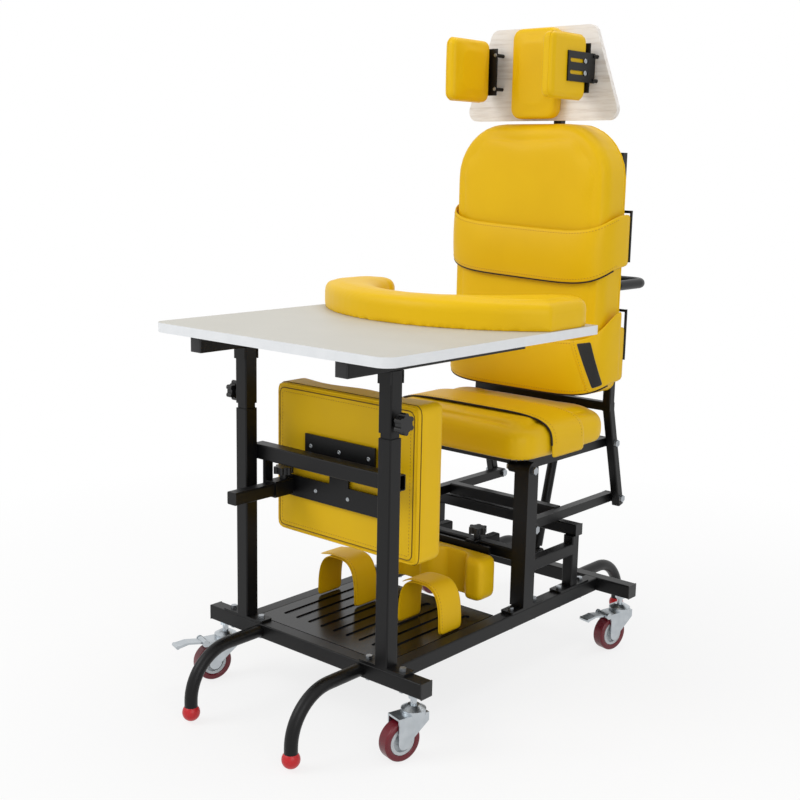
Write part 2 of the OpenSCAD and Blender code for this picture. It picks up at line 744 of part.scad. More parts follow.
sleeve_z = front_post_top + sleeve_gap;
rail_z = tray_z - tube;
tray_knob_rise = 20;
tray_knob_z = sleeve_z + tray_knob_rise;
bracket_t = 3;
bracket_l = 46;
tray_y0 = y_front - tray_front;
module tray_sleeves() color("#1a1a1c") for (s = [-1, 1]) translate([s * rail_x, front_y, 0]) {
    difference() {
        translate([0, 0, sleeve_z]) tube_z(rail_z - sleeve_z, tube);
        translate([s * tube / 2, 0, tray_knob_z]) rod_x(tube, knob_stud + 2 * run_fit);
    }
    for (k = [-1, 1])
        translate([-tube / 2, k * (tube / 2 + bracket_t / 2) - bracket_t / 2, rail_z - bracket_l / 2])
            cube([tube, bracket_t, bracket_l / 2]);
}
module tray_rails() color("#1a1a1c") for (s = [-1, 1])
    translate([s * rail_x, tray_y0 + tray_rail_l / 2 + tube / 2, rail_z + tube / 2])
        tube_y(tray_rail_l, tube);
cutout_ahead = 10;                     // cut-out's centre ahead of the tray's rear edge
cutout_y = tray_y0 + tray_l - cutout_ahead;
module tray_board() color("#e9e7e2") translate([0, 0, tray_z]) linear_extrude(height = tray_t) difference() {
    union() {
        translate([-tray_w / 2, tray_y0 + tray_corner]) square([tray_w, tray_l - tray_corner]);
        translate([tray_corner - tray_w / 2, tray_y0]) square([tray_w - 2 * tray_corner, 2 * tray_corner]);
        for (s = [-1, 1])
            translate([s * (tray_w / 2 - tray_corner), tray_y0 + tray_corner]) circle(tray_corner);
    }
    translate([0, cutout_y]) circle(cutout_r);
    translate([-cutout_r, cutout_y]) square([2 * cutout_r, cutout_ahead + over]);
}

// Bolster outline set in by d: front arc, rounded arm end, edge of the cut-out, other arm end
bolster_round = 22;
bolster_arc_n = 16;
bolster_end_n = 8;
bolster_blend = 6;                     // degrees left out where an arm meets the cut-out's edge
bolster_margin = 2;
bolster_in = cutout_r + soft_gap;
bolster_mid = bolster_in + bolster_w / 2;
bolster_arc_y = bolster_curve_r - bolster_in - bolster_nose;
bolster_end_y = cutout_ahead - bolster_margin - bolster_w / 2;
bolster_shares = [[0.25, 0], [0.05, 0.1], [0, 0.4], [0.08, 0.66], [0.32, 0.86], [0.75, 0.97], [1.4, 1]];
function arc_points(x, y, r, a0, a1, n) =
    [for (i = [0 : n]) let (a = a0 + (a1 - a0) * i / n) [x + r * cos(a), y + r * sin(a)]];
function bolster_ring(d, z) =
    let (
        spread = asin((bolster_in + bolster_w - d) / (bolster_curve_r - d)),
        start = asin(bolster_end_y / (bolster_in + d)) - bolster_blend,
        end_r = bolster_w / 2 - d
    )
    [for (p = concat(
        arc_points(0, bolster_arc_y, bolster_curve_r - d, 270 - spread, 270 + spread, bolster_arc_n),
        arc_points(bolster_mid, bolster_end_y, end_r, 0, 180, bolster_end_n),
        arc_points(0, 0, bolster_in + d, start, -180 - start, bolster_arc_n),
        arc_points(-bolster_mid, bolster_end_y, end_r, 0, 180, bolster_end_n)
    )) [p.x, p.y, z]];
// Flat faces of the bolster: a strip between its two long arcs, and a fan over each arm end
bolster_right = bolster_arc_n + 1;
bolster_back = bolster_right + bolster_end_n + 1;
bolster_left = bolster_back + bolster_arc_n + 1;
bolster_caps = concat(
    [for (i = [0 : bolster_arc_n - 1]) [i, i + 1, bolster_left - 1 - i]],
    [for (i = [0 : bolster_arc_n - 1]) [i + 1, bolster_left - 2 - i, bolster_left - 1 - i]],
    [for (j = [bolster_right : bolster_back - 1]) [bolster_arc_n, j, j + 1]],
    [for (j = [bolster_left - 1 : bolster_left + bolster_end_n - 1]) [0, j, j + 1]]
);
module tray_bolster() color("#e6b214") translate([0, cutout_y, tray_z + tray_t])
    rings([for (s = bolster_shares) bolster_ring(s[0] * bolster_round, s[1] * bolster_h)], bolster_caps);

tray_stud = tube_wall + slide_fit / 2;
module tray_knob(s) color("#151517")
    translate([s * (rail_span / 2 - tray_stud), front_y, tray_knob_z]) rotate([0, s * 90, 0])
        star_knob(tray_stud);

// Knee pad

knee_y = y_front + knee_setback;
plate_th = 4;
slide_ahead = 70;                      // slide tube ahead of the base
carriage_w = 276;
carriage_h = 42;
upper_plate_w = 184;
upper_plate_h = 46;
upper_plate_z = 506;
pad_gap = 0.4;
crown_fall = 0.8;                      // fall of the pad's crown at the plates
module knee_carriage() color("#161618") {
    plate_y = knee_y - pad_crown + crown_fall - pad_gap - plate_th;
    slide_l = slide_ahead + plate_y - y_front;
    translate([knee_slide_x, y_front - slide_ahead + slide_l / 2, knee_slide_z])
        bar_y(slide_l, knee_tube, knee_tube);
    translate([knee_slide_x - knee_tube / 2, plate_y, knee_slide_z - carriage_h / 2])
        cube([carriage_w, plate_th, carriage_h]);
    translate([-upper_plate_w / 2, plate_y, upper_plate_z - upper_plate_h / 2])
        cube([upper_plate_w, plate_th, upper_plate_h]);
    translate([-knee_tube, plate_y, knee_slide_z])
        cube([2 * knee_tube, plate_th, upper_plate_z - knee_slide_z]);
}

// Upright pad with two hollows in its rear side and a crown on its front
hollow_n = 15;
pad_round = 14;
pad_corner = 18;
pad_crown = 6;
pad_mid_shares = [0.28, 0.5, 0.72];
function dished(p, w, t, depth, v) = [
    p.x,
    p.y - max(0, 2 * p.y / t) * depth * pow(sin(360 * (p.x / w + 1 / 2)), 2)
        - max(0, -2 * p.y / t) * pad_crown * (1 - pow(2 * p.x / w, 2)) * (1 - v * v / 2)
];
function pad_ring(w, h, t, depth, d, z) =
    [for (p = outline(w - 2 * d, t - 2 * d, pad_corner - d, pad_corner - d, hollow_n))
        let (q = dished(drawn(p, w, t), w, t, depth, 2 * z / h - 1)) [q.x, q.y + t / 2, z]];
module hollow_pad(w, h, t, depth) {
    low = [for (s = round_shares) [s[0] * pad_round, s[1] * pad_round]];
    mid = [for (f = pad_mid_shares) [0, f * h]];
    high = [for (k = [len(round_shares) - 1 : -1 : 0])
        [round_shares[k][0] * pad_round, h - round_shares[k][1] * pad_round]];
    rings([for (s = concat(low, mid, high)) pad_ring(w, h, t, depth, s[0], s[1])]);
}
module knee_pad() color("#e8b617") translate([0, knee_y, knee_z])
    hollow_pad(knee_w, knee_h, knee_t, knee_hollow);
knee_stud = sleeve_wall + slide_fit / 2;
module knee_knob() color("#151517")
    translate([knee_slide_x, knee_knob_y, knee_slide_z + sleeve_w / 2 - knee_stud]) star_knob(knee_stud);

// Calf pad

calf_z = 166;
calf_back = 6;
calf_y = main_y - calf_sleeve_l / 2 - calf_back;
calf_tail = 40;
calf_plate_share = 0.8;
module calf_slide() color("#18181a") {
    rear = main_y + calf_sleeve_l / 2 + calf_tail;
    for (s = [-1, 1]) translate([s * calf_x, (calf_y + rear) / 2, calf_bar_z])
        bar_y(rear - calf_y, calf_tube, calf_tube);
    translate([-calf_w * calf_plate_share / 2, calf_y, calf_z + pad_round])
        cube([calf_w * calf_plate_share, calf_back - soft_gap,
            calf_bar_z + calf_tube / 2 - calf_z - pad_round]);
}
module calf_pad() color("#e3b012") translate([0, calf_y - pad_crown - pad_gap, calf_z]) mirror([0, 1, 0])
    hollow_pad(calf_w, calf_h, calf_t, calf_hollow);
module calf_knob(s) color("#151517")
    translate([s * calf_x, main_y, calf_bar_z + calf_sleeve / 2 - knee_stud]) star_knob(knee_stud);

// Seat and linkage

seat_edge = 22;
board_gap = 10;
seat_z = pivot_z + small_tube / 2 + board_gap;
seat_y0 = main_y - seat_nose;
link_eye = 22;
module link_bar(y0, z, hole) {
    difference() {
        rotate([90, 0, 90]) linear_extrude(height = small_tube, center = true) {
            for (y = [y0, y0 + link_l]) translate([y, z]) circle(d = link_eye);
            translate([y0, z - small_tube / 2]) square([link_l, small_tube]);
        }
        translate([0, y0, z]) rod_x(2 * small_tube, pin_hole);
        translate([0, y0 + link_l, z]) rod_x(2 * small_tube, hole);
    }
}
seat_cross_shares = [0.16, 0.8];
pad_block_share = 0.7;
module seat_frame() color("#1a1a1c") {
    for (s = [-1, 1]) translate([s * small_x, 0, 0]) link_bar(main_y, pivot_z, pin_hole);
    for (f = seat_cross_shares) translate([0, main_y + f * link_l, pivot_z])
        bar_x(2 * small_in, small_tube, small_tube);
    for (f = seat_cross_shares, s = [-1, 1])
        translate([s * small_in * pad_block_share - small_tube / 2, main_y + f * link_l - small_tube / 2,
            pivot_z + small_tube / 2 - over])
            cube([small_tube, small_tube, board_gap + over - pad_gap]);
}
seat_rear_r = 92;
seat_front_r = 46;
module seat_cushion() color("#e4af12") translate([0, seat_y0 + seat_l / 2, seat_z])
    cushion(seat_w, seat_l, seat_t, seat_crown, seat_edge, seat_front_r, seat_rear_r);
thigh_w = 96;
belt_t = 4;
thigh_y_share = 0.42;
module thigh_belt() color("#dca90f") translate([0, seat_y0 + thigh_y_share * seat_l, seat_z - soft_gap])
    over_strap(seat_w / 2 + soft_gap + belt_t / 2, seat_t + seat_crown + belt_t - soft_gap,
        belt_t, thigh_w);

link_cross_share = 0.42;
module lower_link() color("#1a1a1c") {
    for (s = [-1, 1]) translate([s * small_x, 0, 0]) link_bar(low_y, low_z, bolt_d + 2 * open_fit);
    translate([0, low_y + link_cross_share * link_l, low_z]) bar_x(2 * small_in, bar_tube, bar_tube);
}

// Strut, built upright on its lower pivot and then leaned back
strut_eye = 11;
tube_l = 340;
neck_l = 18;                           // slim neck between the ears of the clevis
rod_low = 26;
module at_strut() { translate([strut_x, strut_low_y, strut_low_z]) rotate([-strut_lean, 0, 0]) children(); }
module strut_tube() color("#1d1d1f") at_strut() difference() {
    union() {
        rod_x(eye_t, 2 * strut_eye);
        cylinder(h = neck_l + over, d = eye_t);
        translate([0, 0, neck_l]) cylinder(h = tube_l - neck_l, d = strut_d);
    }
    rod_x(2 * eye_t, pin_hole);
    translate([0, 0, rod_low - over]) cylinder(h = tube_l, d = rod_d + 2 * run_fit);
}
module strut_rod() color("#9a9ea3") at_strut() {
    translate([0, 0, rod_low]) cylinder(h = strut_l - rod_low - strut_eye / 2, d = rod_d);
    translate([0, 0, strut_l]) rod_x(eye_t, 2 * strut_eye);
    translate([0, 0, strut_l]) rod_x(eye_t + 2 * clevis_t, bolt_d);
}

// Backrest

lean_a = atan(pivot_shift / pivot_drop);
foot_over = 16;
back_front = upright_y - small_tube / 2 - soft_gap - back_t;
head_cross_z = 1010;
stem_tube = 20;
guide_w = stem_tube + 2 * slide_fit + 2 * sleeve_wall;
guide_l = 60;
stem_y = upright_y + small_tube / 2 + guide_w / 2;
loop_d = 6;
loop_out = 22;
module wire_loop(z, h) {
    x0 = upright_x + small_tube / 2;
    for (k = [0, 1]) translate([x0 + loop_out / 2 - loop_d / 4, upright_y, z + k * h])
        rod_x(loop_out + loop_d / 2, loop_d);
    translate([x0 + loop_out, upright_y, z - loop_d / 2]) cylinder(h = h + loop_d, d = loop_d);
}
chest_loop_z = 852;
hip_loop_z = 640;
loop_h = 104;
low_len = (bend_z - low_z) / cos(lean_a) + foot_over;
bend_y = hip_y - (bend_z - pivot_z) * tan(lean_a);
module back_frame() color("#1a1a1c") difference() {
    union() {
        sides() {
            translate([upright_x, upright_y, bend_z]) bar_z(upright_top - bend_z, small_tube, small_tube);
            translate([upright_x, bend_y, bend_z]) rotate([180 + lean_a, 0, 0])
                bar_z(low_len, small_tube, small_tube);
            translate([upright_x, (upright_y + bend_y) / 2, bend_z])
                bar_y(small_tube + abs(upright_y - bend_y), small_tube, small_tube);
            wire_loop(chest_loop_z, loop_h);
            wire_loop(hip_loop_z, loop_h);
        }
        for (z = [bend_z, head_cross_z]) translate([0, upright_y, z])
            bar_x(2 * upright_x, small_tube, small_tube);
        translate([0, stem_y, head_cross_z - guide_l / 2]) bar_z(guide_l, guide_w, guide_w);
        for (s = [-1, 1]) translate([strut_x + s * (eye_t / 2 + clevis_t / 2 + eye_gap + clevis_t), 0, 0])
            rotate([90, 0, 90]) linear_extrude(height = clevis_t, center = true) {
                translate([upright_y + strut_head, strut_top_z]) circle(clevis_r);
                translate([upright_y, strut_top_z - small_tube / 2]) square([strut_head, small_tube]);
            }
    }
    sides() {
        translate([upright_x, hip_y, pivot_z]) rod_x(2 * small_tube, pin_hole);
        translate([upright_x, heel_y, low_z]) rod_x(2 * small_tube, pin_hole);
    }
    translate([0, stem_y, head_cross_z - guide_l])
        bar_z(2 * guide_l, stem_tube + 2 * slide_fit, stem_tube + 2 * slide_fit);
    translate([0, stem_y + guide_w / 2, head_cross_z]) rod_y(guide_w, knob_stud + 2 * run_fit);
}

back_low_r = 34;
back_edge = 20;
module back_cushion() color("#e6b214")
    translate([0, upright_y - small_tube / 2 - soft_gap, back_z + back_h / 2]) rotate([90, 0, 0])
        cushion(back_w, back_h, back_t, back_crown, back_edge, back_low_r, back_corner);

belt_proud = 28;
belt_side = 11;                        // belts outside the pad's sides, on their way back to the loops
belt_y = upright_y - loop_d / 2 - soft_gap;
module body_belt(z, h, sag) translate([0, belt_y, z])
    belt(back_w / 2 + belt_side + belt_t / 2, belt_y - back_front + belt_proud, belt_t, h, sag);
chest_z = 905;
chest_sag = 40;
hip_z = 652;
hip_sag = 30;
module chest_belt() color("#e0ad10") body_belt(chest_z, chest_h, chest_sag);
module hip_belt() color("#e0ad10") body_belt(hip_z, hip_h, hip_sag);

handle_curve_r = 34;
grip_d = 28;
module push_handle() color("#202022") translate([0, upright_y + small_tube / 2, handle_z]) {
    run = handle_reach - handle_curve_r;
    bar = upright_x - handle_curve_r;
    sides() {
        translate([upright_x, run / 2, 0]) rod_y(run, handle_d);
        translate([bar, run, 0]) rotate_extrude(angle = 90)
            translate([handle_curve_r, 0]) circle(d = handle_d);
    }
    translate([0, handle_reach, 0]) rod_x(2 * bar, handle_d);
    translate([0, handle_reach, 0]) rod_x(2 * bar - 2 * handle_curve_r, grip_d);
}

// Headrest

head_ahead = 56;
head_gap = 2;
stem_tail = 60;
stem_rise = 110;
head_y = upright_y - head_ahead;
head_z = back_z + back_h + head_gap;
stem_low = head_cross_z - stem_tail;
stem_top = head_z + stem_rise;
arm_h = 46;
arm_w = 60;
module headrest_stem() color("#1a1a1c") {
    translate([0, stem_y, stem_low]) bar_z(stem_top - stem_low, stem_tube, stem_tube);
    translate([-stem_tube / 2, head_y + head_t, stem_top - arm_h])
        cube([stem_tube, stem_y - head_y - head_t, stem_tube]);
    translate([-arm_w / 2, head_y + head_t, stem_top - arm_h - stem_tube / 2])
        cube([arm_w, bracket_t, arm_h]);
}
head_round = 22;
module headrest_board() color("#ddd4c6") translate([0, head_y + head_t, head_z]) rotate([90, 0, 0])
    linear_extrude(height = head_t) hull() {
        for (s = [-1, 1]) {
            translate([s * (head_low_w / 2 - head_round), head_round]) circle(head_round, $fn = 32);
            translate([s * (head_top_w / 2 - head_round), head_h - head_round]) circle(head_round, $fn = 32);
        }
    }
head_edge = 12;
head_crown = 6;
head_corner = 22;
module headrest_pad() color("#e6b214")
    translate([0, head_y - pad_gap, head_z + head_h / 2]) rotate([90, 0, 0])
        cushion(head_pad_w, head_h, head_pad_t - head_crown, head_crown, head_edge, head_corner, head_corner);

side_back = 32;                       // side pad's rear end ahead of the board
side_rise = 36;
side_z = head_z + side_rise;
plate_l2 = 100;
plate_h2 = 60;
slot_h = 8;
slot_long = 66;
rod_gap = 57;
rod_thin = 8;
screw_d = 7;
side_x = side_gap / 2;
arm_x = side_x + side_t + pad_gap;
plate_z = side_z + side_h / 2;
plate_tail = 22;
screw_setback = 38;
screw_sink = 1;
plate_rear = head_y - side_back + plate_tail;
screw_y = plate_rear - screw_setback;
module headrest_brackets() color("#141416") sides() {
    difference() {
        translate([arm_x, plate_rear - plate_l2, plate_z - plate_h2 / 2])
            cube([bracket_t, plate_l2, plate_h2]);
        for (k = [-1, 1])
            translate([arm_x - over, screw_y + screw_d / 2 + slot_h / 2, plate_z + k * plate_h2 / 5])
            rotate([90, 0, 90]) linear_extrude(height = bracket_t + 2 * over) {
                circle(d = slot_h);
                translate([slot_h - slot_long, 0]) circle(d = slot_h);
                translate([slot_h - slot_long, -slot_h / 2]) square([slot_long - slot_h, slot_h]);
            }
    }
    for (k = [-1, 1])
        translate([arm_x + bracket_t / 2, (plate_rear + head_y) / 2 - rod_thin / 2,
            plate_z + k * rod_gap / 2 - k * rod_thin / 2])
        rod_y(head_y - plate_rear + rod_thin, rod_thin);
}
side_edge = 12;
side_crown = 4;
side_corner = 16;
screw_head = 12;
module side_pad(s) color("#e2af12") mirror([s < 0 ? 1 : 0, 0, 0]) {
    translate([side_x + side_t, head_y - side_back - side_l / 2, side_z + side_h / 2]) rotate([0, -90, 0])
        cushion(side_h, side_l, side_t - side_crown, side_crown, side_edge, side_corner, side_corner);
    for (k = [-1, 1])
        translate([arm_x - pad_gap - screw_sink, screw_y, plate_z + k * plate_h2 / 5]) rotate([0, 90, 0]) {
        cylinder(h = bracket_t + 2 * pad_gap + screw_sink, d = screw_d);
        translate([0, 0, bracket_t + 2 * pad_gap + screw_sink]) cylinder(h = bracket_t, d = screw_head);
    }
}
head_stud = sleeve_wall + slide_fit / 2;
module headrest_knob() color("#151517")
    translate([0, stem_y + guide_w / 2 - head_stud, head_cross_z]) rotate([-90, 0, 0]) star_knob(head_stud);

cross_tubes();
side_rails();
footplate();
anti_tip_legs();
leg_tips();
caster_stems();
front_posts();
tray_slides();
base_bolts();
front_crossbar();
main_posts();
calf_bar();
rear_stand();
foot_straps();
tube_caps();
pivot_bolts();
caster_fork(casters[0]);  // caster_fork_fl
caster_fork(casters[1]);  // caster_fork_fr
caster_fork(casters[2]);  // caster_fork_rl
caster_fork(casters[3]);  // caster_fork_rr
caster_wheel(casters[0]);  // caster_wheel_fl
caster_wheel(casters[1]);  // caster_wheel_fr
caster_wheel(casters[2]);  // caster_wheel_rl
caster_wheel(casters[3]);  // caster_wheel_rr
brake_pedal(casters[0]);  // brake_pedal_fl
brake_pedal(casters[3]);  // brake_pedal_rr
tray_sleeves();
tray_rails();
tray_board();
tray_bolster();
tray_knob(-1);  // tray_knob_l
tray_knob(1);  // tray_knob_r
knee_carriage();
knee_pad();
knee_knob();
calf_slide();
calf_pad();
calf_knob(-1);  // calf_knob_l
calf_knob(1);  // calf_knob_r
seat_frame();
seat_cushion();
thigh_belt();
lower_link();
strut_tube();
strut_rod();
back_frame();
back_cushion();
chest_belt();
hip_belt();
push_handle();
link_bolts();
headrest_stem();
headrest_board();
headrest_pad();
headrest_brackets();
side_pad(-1);  // side_pad_l
side_pad(1);  // side_pad_r
headrest_knob();
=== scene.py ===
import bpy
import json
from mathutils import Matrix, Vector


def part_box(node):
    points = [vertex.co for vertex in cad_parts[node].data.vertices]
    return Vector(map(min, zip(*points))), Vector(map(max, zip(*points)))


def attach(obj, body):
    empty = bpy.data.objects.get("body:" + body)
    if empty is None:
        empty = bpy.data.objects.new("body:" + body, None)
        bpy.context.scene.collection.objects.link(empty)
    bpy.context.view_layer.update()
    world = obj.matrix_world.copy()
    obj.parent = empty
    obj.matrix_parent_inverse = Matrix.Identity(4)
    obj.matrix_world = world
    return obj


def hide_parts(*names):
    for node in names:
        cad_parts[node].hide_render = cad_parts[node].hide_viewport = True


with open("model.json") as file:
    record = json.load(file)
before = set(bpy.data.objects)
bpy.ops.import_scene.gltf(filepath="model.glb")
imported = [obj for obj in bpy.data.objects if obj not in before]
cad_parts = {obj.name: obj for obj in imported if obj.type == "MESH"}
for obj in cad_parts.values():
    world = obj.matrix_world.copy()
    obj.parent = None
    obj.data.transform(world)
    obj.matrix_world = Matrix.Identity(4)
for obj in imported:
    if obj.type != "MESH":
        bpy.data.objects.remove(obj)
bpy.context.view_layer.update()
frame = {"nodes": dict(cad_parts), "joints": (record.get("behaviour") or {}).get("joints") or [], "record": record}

import json
import math

import bmesh
import bpy
from mathutils import Matrix, Vector
from mathutils.bvhtree import BVHTree

# Looks of the sit-to-stand standing frame, in metres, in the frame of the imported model
NODES = frame["nodes"]
SCENE = bpy.context.scene
MM = 0.001
X, Y, Z = Vector((1, 0, 0)), Vector((0, 1, 0)), Vector((0, 0, 1))


# Camera

def add_camera():
    """Camera at the photograph's viewpoint, worked out from the edges of the base and the tray."""
    azimuth, elevation, roll = (math.radians(a) for a in (40.927, 10.964, 1.101))
    back = Vector((math.sin(azimuth) * math.cos(elevation), -math.cos(azimuth) * math.cos(elevation),
                   math.sin(elevation)))
    right = (-back).cross(Z).normalized()
    up = right.cross(-back)
    across = right * math.cos(roll) + up * math.sin(roll)
    upward = up * math.cos(roll) - right * math.sin(roll)
    lens = bpy.data.cameras.new("photo_camera")
    lens.lens = 54.47
    lens.sensor_width = 36
    lens.clip_end = 60
    camera = bpy.data.objects.new("photo_camera", lens)
    camera.matrix_world = Matrix((across, upward, back)).transposed().to_4x4()
    camera.location = (1.5557, -1.9063, 1.0444)
    SCENE.collection.objects.link(camera)
    SCENE.camera = camera


# Materials

def linear(code):
    """Linear colour of an sRGB hex value."""
    parts = [int(code[i:i + 2], 16) / 255 for i in (1, 3, 5)]
    return tuple(c / 12.92 if c <= 0.04045 else ((c + 0.055) / 1.055) ** 2.4 for c in parts) + (1.0,)


def add(tree, kind, settings=None, links=None):
    """Adds a node with its settings, which are attributes or input values, and its links by input name."""
    made = tree.nodes.new(kind)
    for key, value in (settings or {}).items():
        if isinstance(key, str) and hasattr(made, key):
            setattr(made, key, value)
        else:
            made.inputs[key].default_value = value
    for key, socket in (links or {}).items():
        tree.links.new(socket, made.inputs[key])
    return made


def start(name, **shader_values):
    """New material with a shader and object coordinates."""
    made = bpy.data.materials.new(name)
    made.use_nodes = True
    tree = made.node_tree
    tree.nodes.clear()
    shader = add(tree, "ShaderNodeBsdfPrincipled", shader_values)
    add(tree, "ShaderNodeOutputMaterial", links={"Surface": shader.outputs["BSDF"]})
    place = add(tree, "ShaderNodeTexCoord").outputs["Object"]
    return made, tree, shader, place


def per_mm(size):
    """Texture scale whose pattern repeats about every size millimetres."""
    return 1 / (size * MM)


def tinted(tree, shader, factor, low, high):
    """Base colour running between two hex colours with a factor."""
    ramp = add(tree, "ShaderNodeValToRGB", links={"Fac": factor})
    ramp.color_ramp.elements[0].color = linear(low)
    ramp.color_ramp.elements[1].color = linear(high)
    tree.links.new(ramp.outputs["Color"], shader.inputs["Base Color"])
    return ramp


def bumped(tree, shader, height, strength, depth_mm):
    """Bump on the shader from a height between 0 and 1."""
    bump = add(tree, "ShaderNodeBump", {"Strength": strength, "Distance": depth_mm * MM}, {"Height": height})
    tree.links.new(bump.outputs["Normal"], shader.inputs["Normal"])


def rough_range(tree, shader, factor, low, high):
    """Roughness running between two values with a factor."""
    spread = add(tree, "ShaderNodeMapRange", {"To Min": low, "To Max": high}, {"Value": factor})
    tree.links.new(spread.outputs["Result"], shader.inputs["Roughness"])


def yellow_vinyl(name, low, high, grain_mm=2.2):
    """Embossed PVC upholstery cloth: satin sheen over a fine pebble grain, drawn coarse enough to show."""
    made, tree, shader, place = start(name, **{"IOR": 1.5, "Specular IOR Level": 0.22})
    cloud = add(tree, "ShaderNodeTexNoise", {"Scale": per_mm(140), "Detail": 3.0},
                {"Vector": place}).outputs["Fac"]
    tinted(tree, shader, cloud, low, high)
    grain = add(tree, "ShaderNodeTexVoronoi", {"Scale": per_mm(grain_mm)},
                {"Vector": place}).outputs["Distance"]
    crease = add(tree, "ShaderNodeTexNoise", {"Scale": per_mm(35), "Detail": 4.0},
                 {"Vector": place}).outputs["Fac"]
    both = add(tree, "ShaderNodeMath", {"operation": "MULTIPLY_ADD", 1: 0.35},
               {0: grain, 2: crease}).outputs["Value"]
    bumped(tree, shader, both, strength=0.22, depth_mm=0.5)
    rough_range(tree, shader, crease, low=0.38, high=0.52)
    return made


def powder_coat(name, low, high, rough=(0.32, 0.46)):
    """Sprayed and baked powder paint on steel: satin, with the faint dimple of orange peel."""
    made, tree, shader, place = start(name, **{"IOR": 1.5, "Specular IOR Level": 0.25})
    cloud = add(tree, "ShaderNodeTexNoise", {"Scale": per_mm(60), "Detail": 5.0},
                {"Vector": place}).outputs["Fac"]
    tinted(tree, shader, cloud, low, high)
    peel = add(tree, "ShaderNodeTexNoise", {"Scale": per_mm(2.5), "Detail": 1.0},
               {"Vector": place}).outputs["Fac"]
    bumped(tree, shader, peel, strength=0.12, depth_mm=0.2)
    rough_range(tree, shader, cloud, *rough)
    return made


def zinc_plate(name, low, high, rough=(0.22, 0.42)):
    """Bright zinc on pressed steel: metallic, with faint cloudy streaks from the plating bath."""
    made, tree, shader, place = start(name, **{"Metallic": 1.0})
    cloud = add(tree, "ShaderNodeTexNoise", {"Scale": per_mm(18), "Detail": 6.0},
                {"Vector": place}).outputs["Fac"]
    tinted(tree, shader, cloud, low, high)
    rough_range(tree, shader, cloud, *rough)
    scratch = add(tree, "ShaderNodeTexNoise", {"Scale": per_mm(0.9), "Detail": 2.0},
                  {"Vector": place}).outputs["Fac"]
    bumped(tree, shader, scratch, strength=0.06, depth_mm=0.1)
    return made


def moulded_plastic(name, low, high, rough=(0.35, 0.5), grain_mm=1.2):
    """Injection moulded plastic or rubber: a fine spark texture that scatters the highlight."""
    made, tree, shader, place = start(name, **{"IOR": 1.46})
    cloud = add(tree, "ShaderNodeTexNoise", {"Scale": per_mm(25), "Detail": 3.0},
                {"Vector": place}).outputs["Fac"]
    tinted(tree, shader, cloud, low, high)
    grain = add(tree, "ShaderNodeTexNoise", {"Scale": per_mm(grain_mm), "Detail": 2.0},
                {"Vector": place}).outputs["Fac"]
    bumped(tree, shader, grain, strength=0.12, depth_mm=0.15)
    rough_range(tree, shader, cloud, *rough)
    return made


def white_laminate(name):
    """Melamine laminate on board: nearly white, matt, with a faint pebble."""
    made, tree, shader, place = start(name, **{"IOR": 1.5})
    cloud = add(tree, "ShaderNodeTexNoise", {"Scale": per_mm(90), "Detail": 6.0},
                {"Vector": place}).outputs["Fac"]
    tinted(tree, shader, cloud, "#bfbdb4", "#cbc9c1")
    pebble = add(tree, "ShaderNodeTexNoise", {"Scale": per_mm(3), "Detail": 2.0},
                 {"Vector": place}).outputs["Fac"]
    bumped(tree, shader, pebble, strength=0.1, depth_mm=0.15)
    rough_range(tree, shader, cloud, low=0.42, high=0.55)
    return made


def grain_laminate(name):
    """Pale wood-grain laminate: thin darker streaks along the board's width, about 9 mm apart."""
    made, tree, shader, place = start(name, **{"IOR": 1.5})
    stretched = add(tree, "ShaderNodeMapping", {"Scale": (0.08, 1.0, 1.0)},
                    {"Vector": place}).outputs["Vector"]
    streak = add(tree, "ShaderNodeTexNoise", {"Scale": per_mm(9), "Detail": 8.0, "Roughness": 0.65},
                 {"Vector": stretched}).outputs["Fac"]
    ramp = tinted(tree, shader, streak, "#d6ccc1", "#f3eee8")
    ramp.color_ramp.elements[0].position = 0.28
    ramp.color_ramp.elements[1].position = 0.52
    bumped(tree, shader, streak, strength=0.1, depth_mm=0.2)
    rough_range(tree, shader, streak, low=0.4, high=0.55)
    return made


def hook_tape(name):
    """Woven hook-and-loop tape: dull black nylon with a tight nap."""
    made, tree, shader, place = start(name, **{"Sheen Weight": 0.4, "Sheen Roughness": 0.5,
                                               "Roughness": 0.85})
    nap = add(tree, "ShaderNodeTexVoronoi", {"Scale": per_mm(1.6)}, {"Vector": place}).outputs["Distance"]
    tinted(tree, shader, nap, "#0c0c0d", "#1d1d1f")
    bumped(tree, shader, nap, strength=0.6, depth_mm=0.6)
    return made


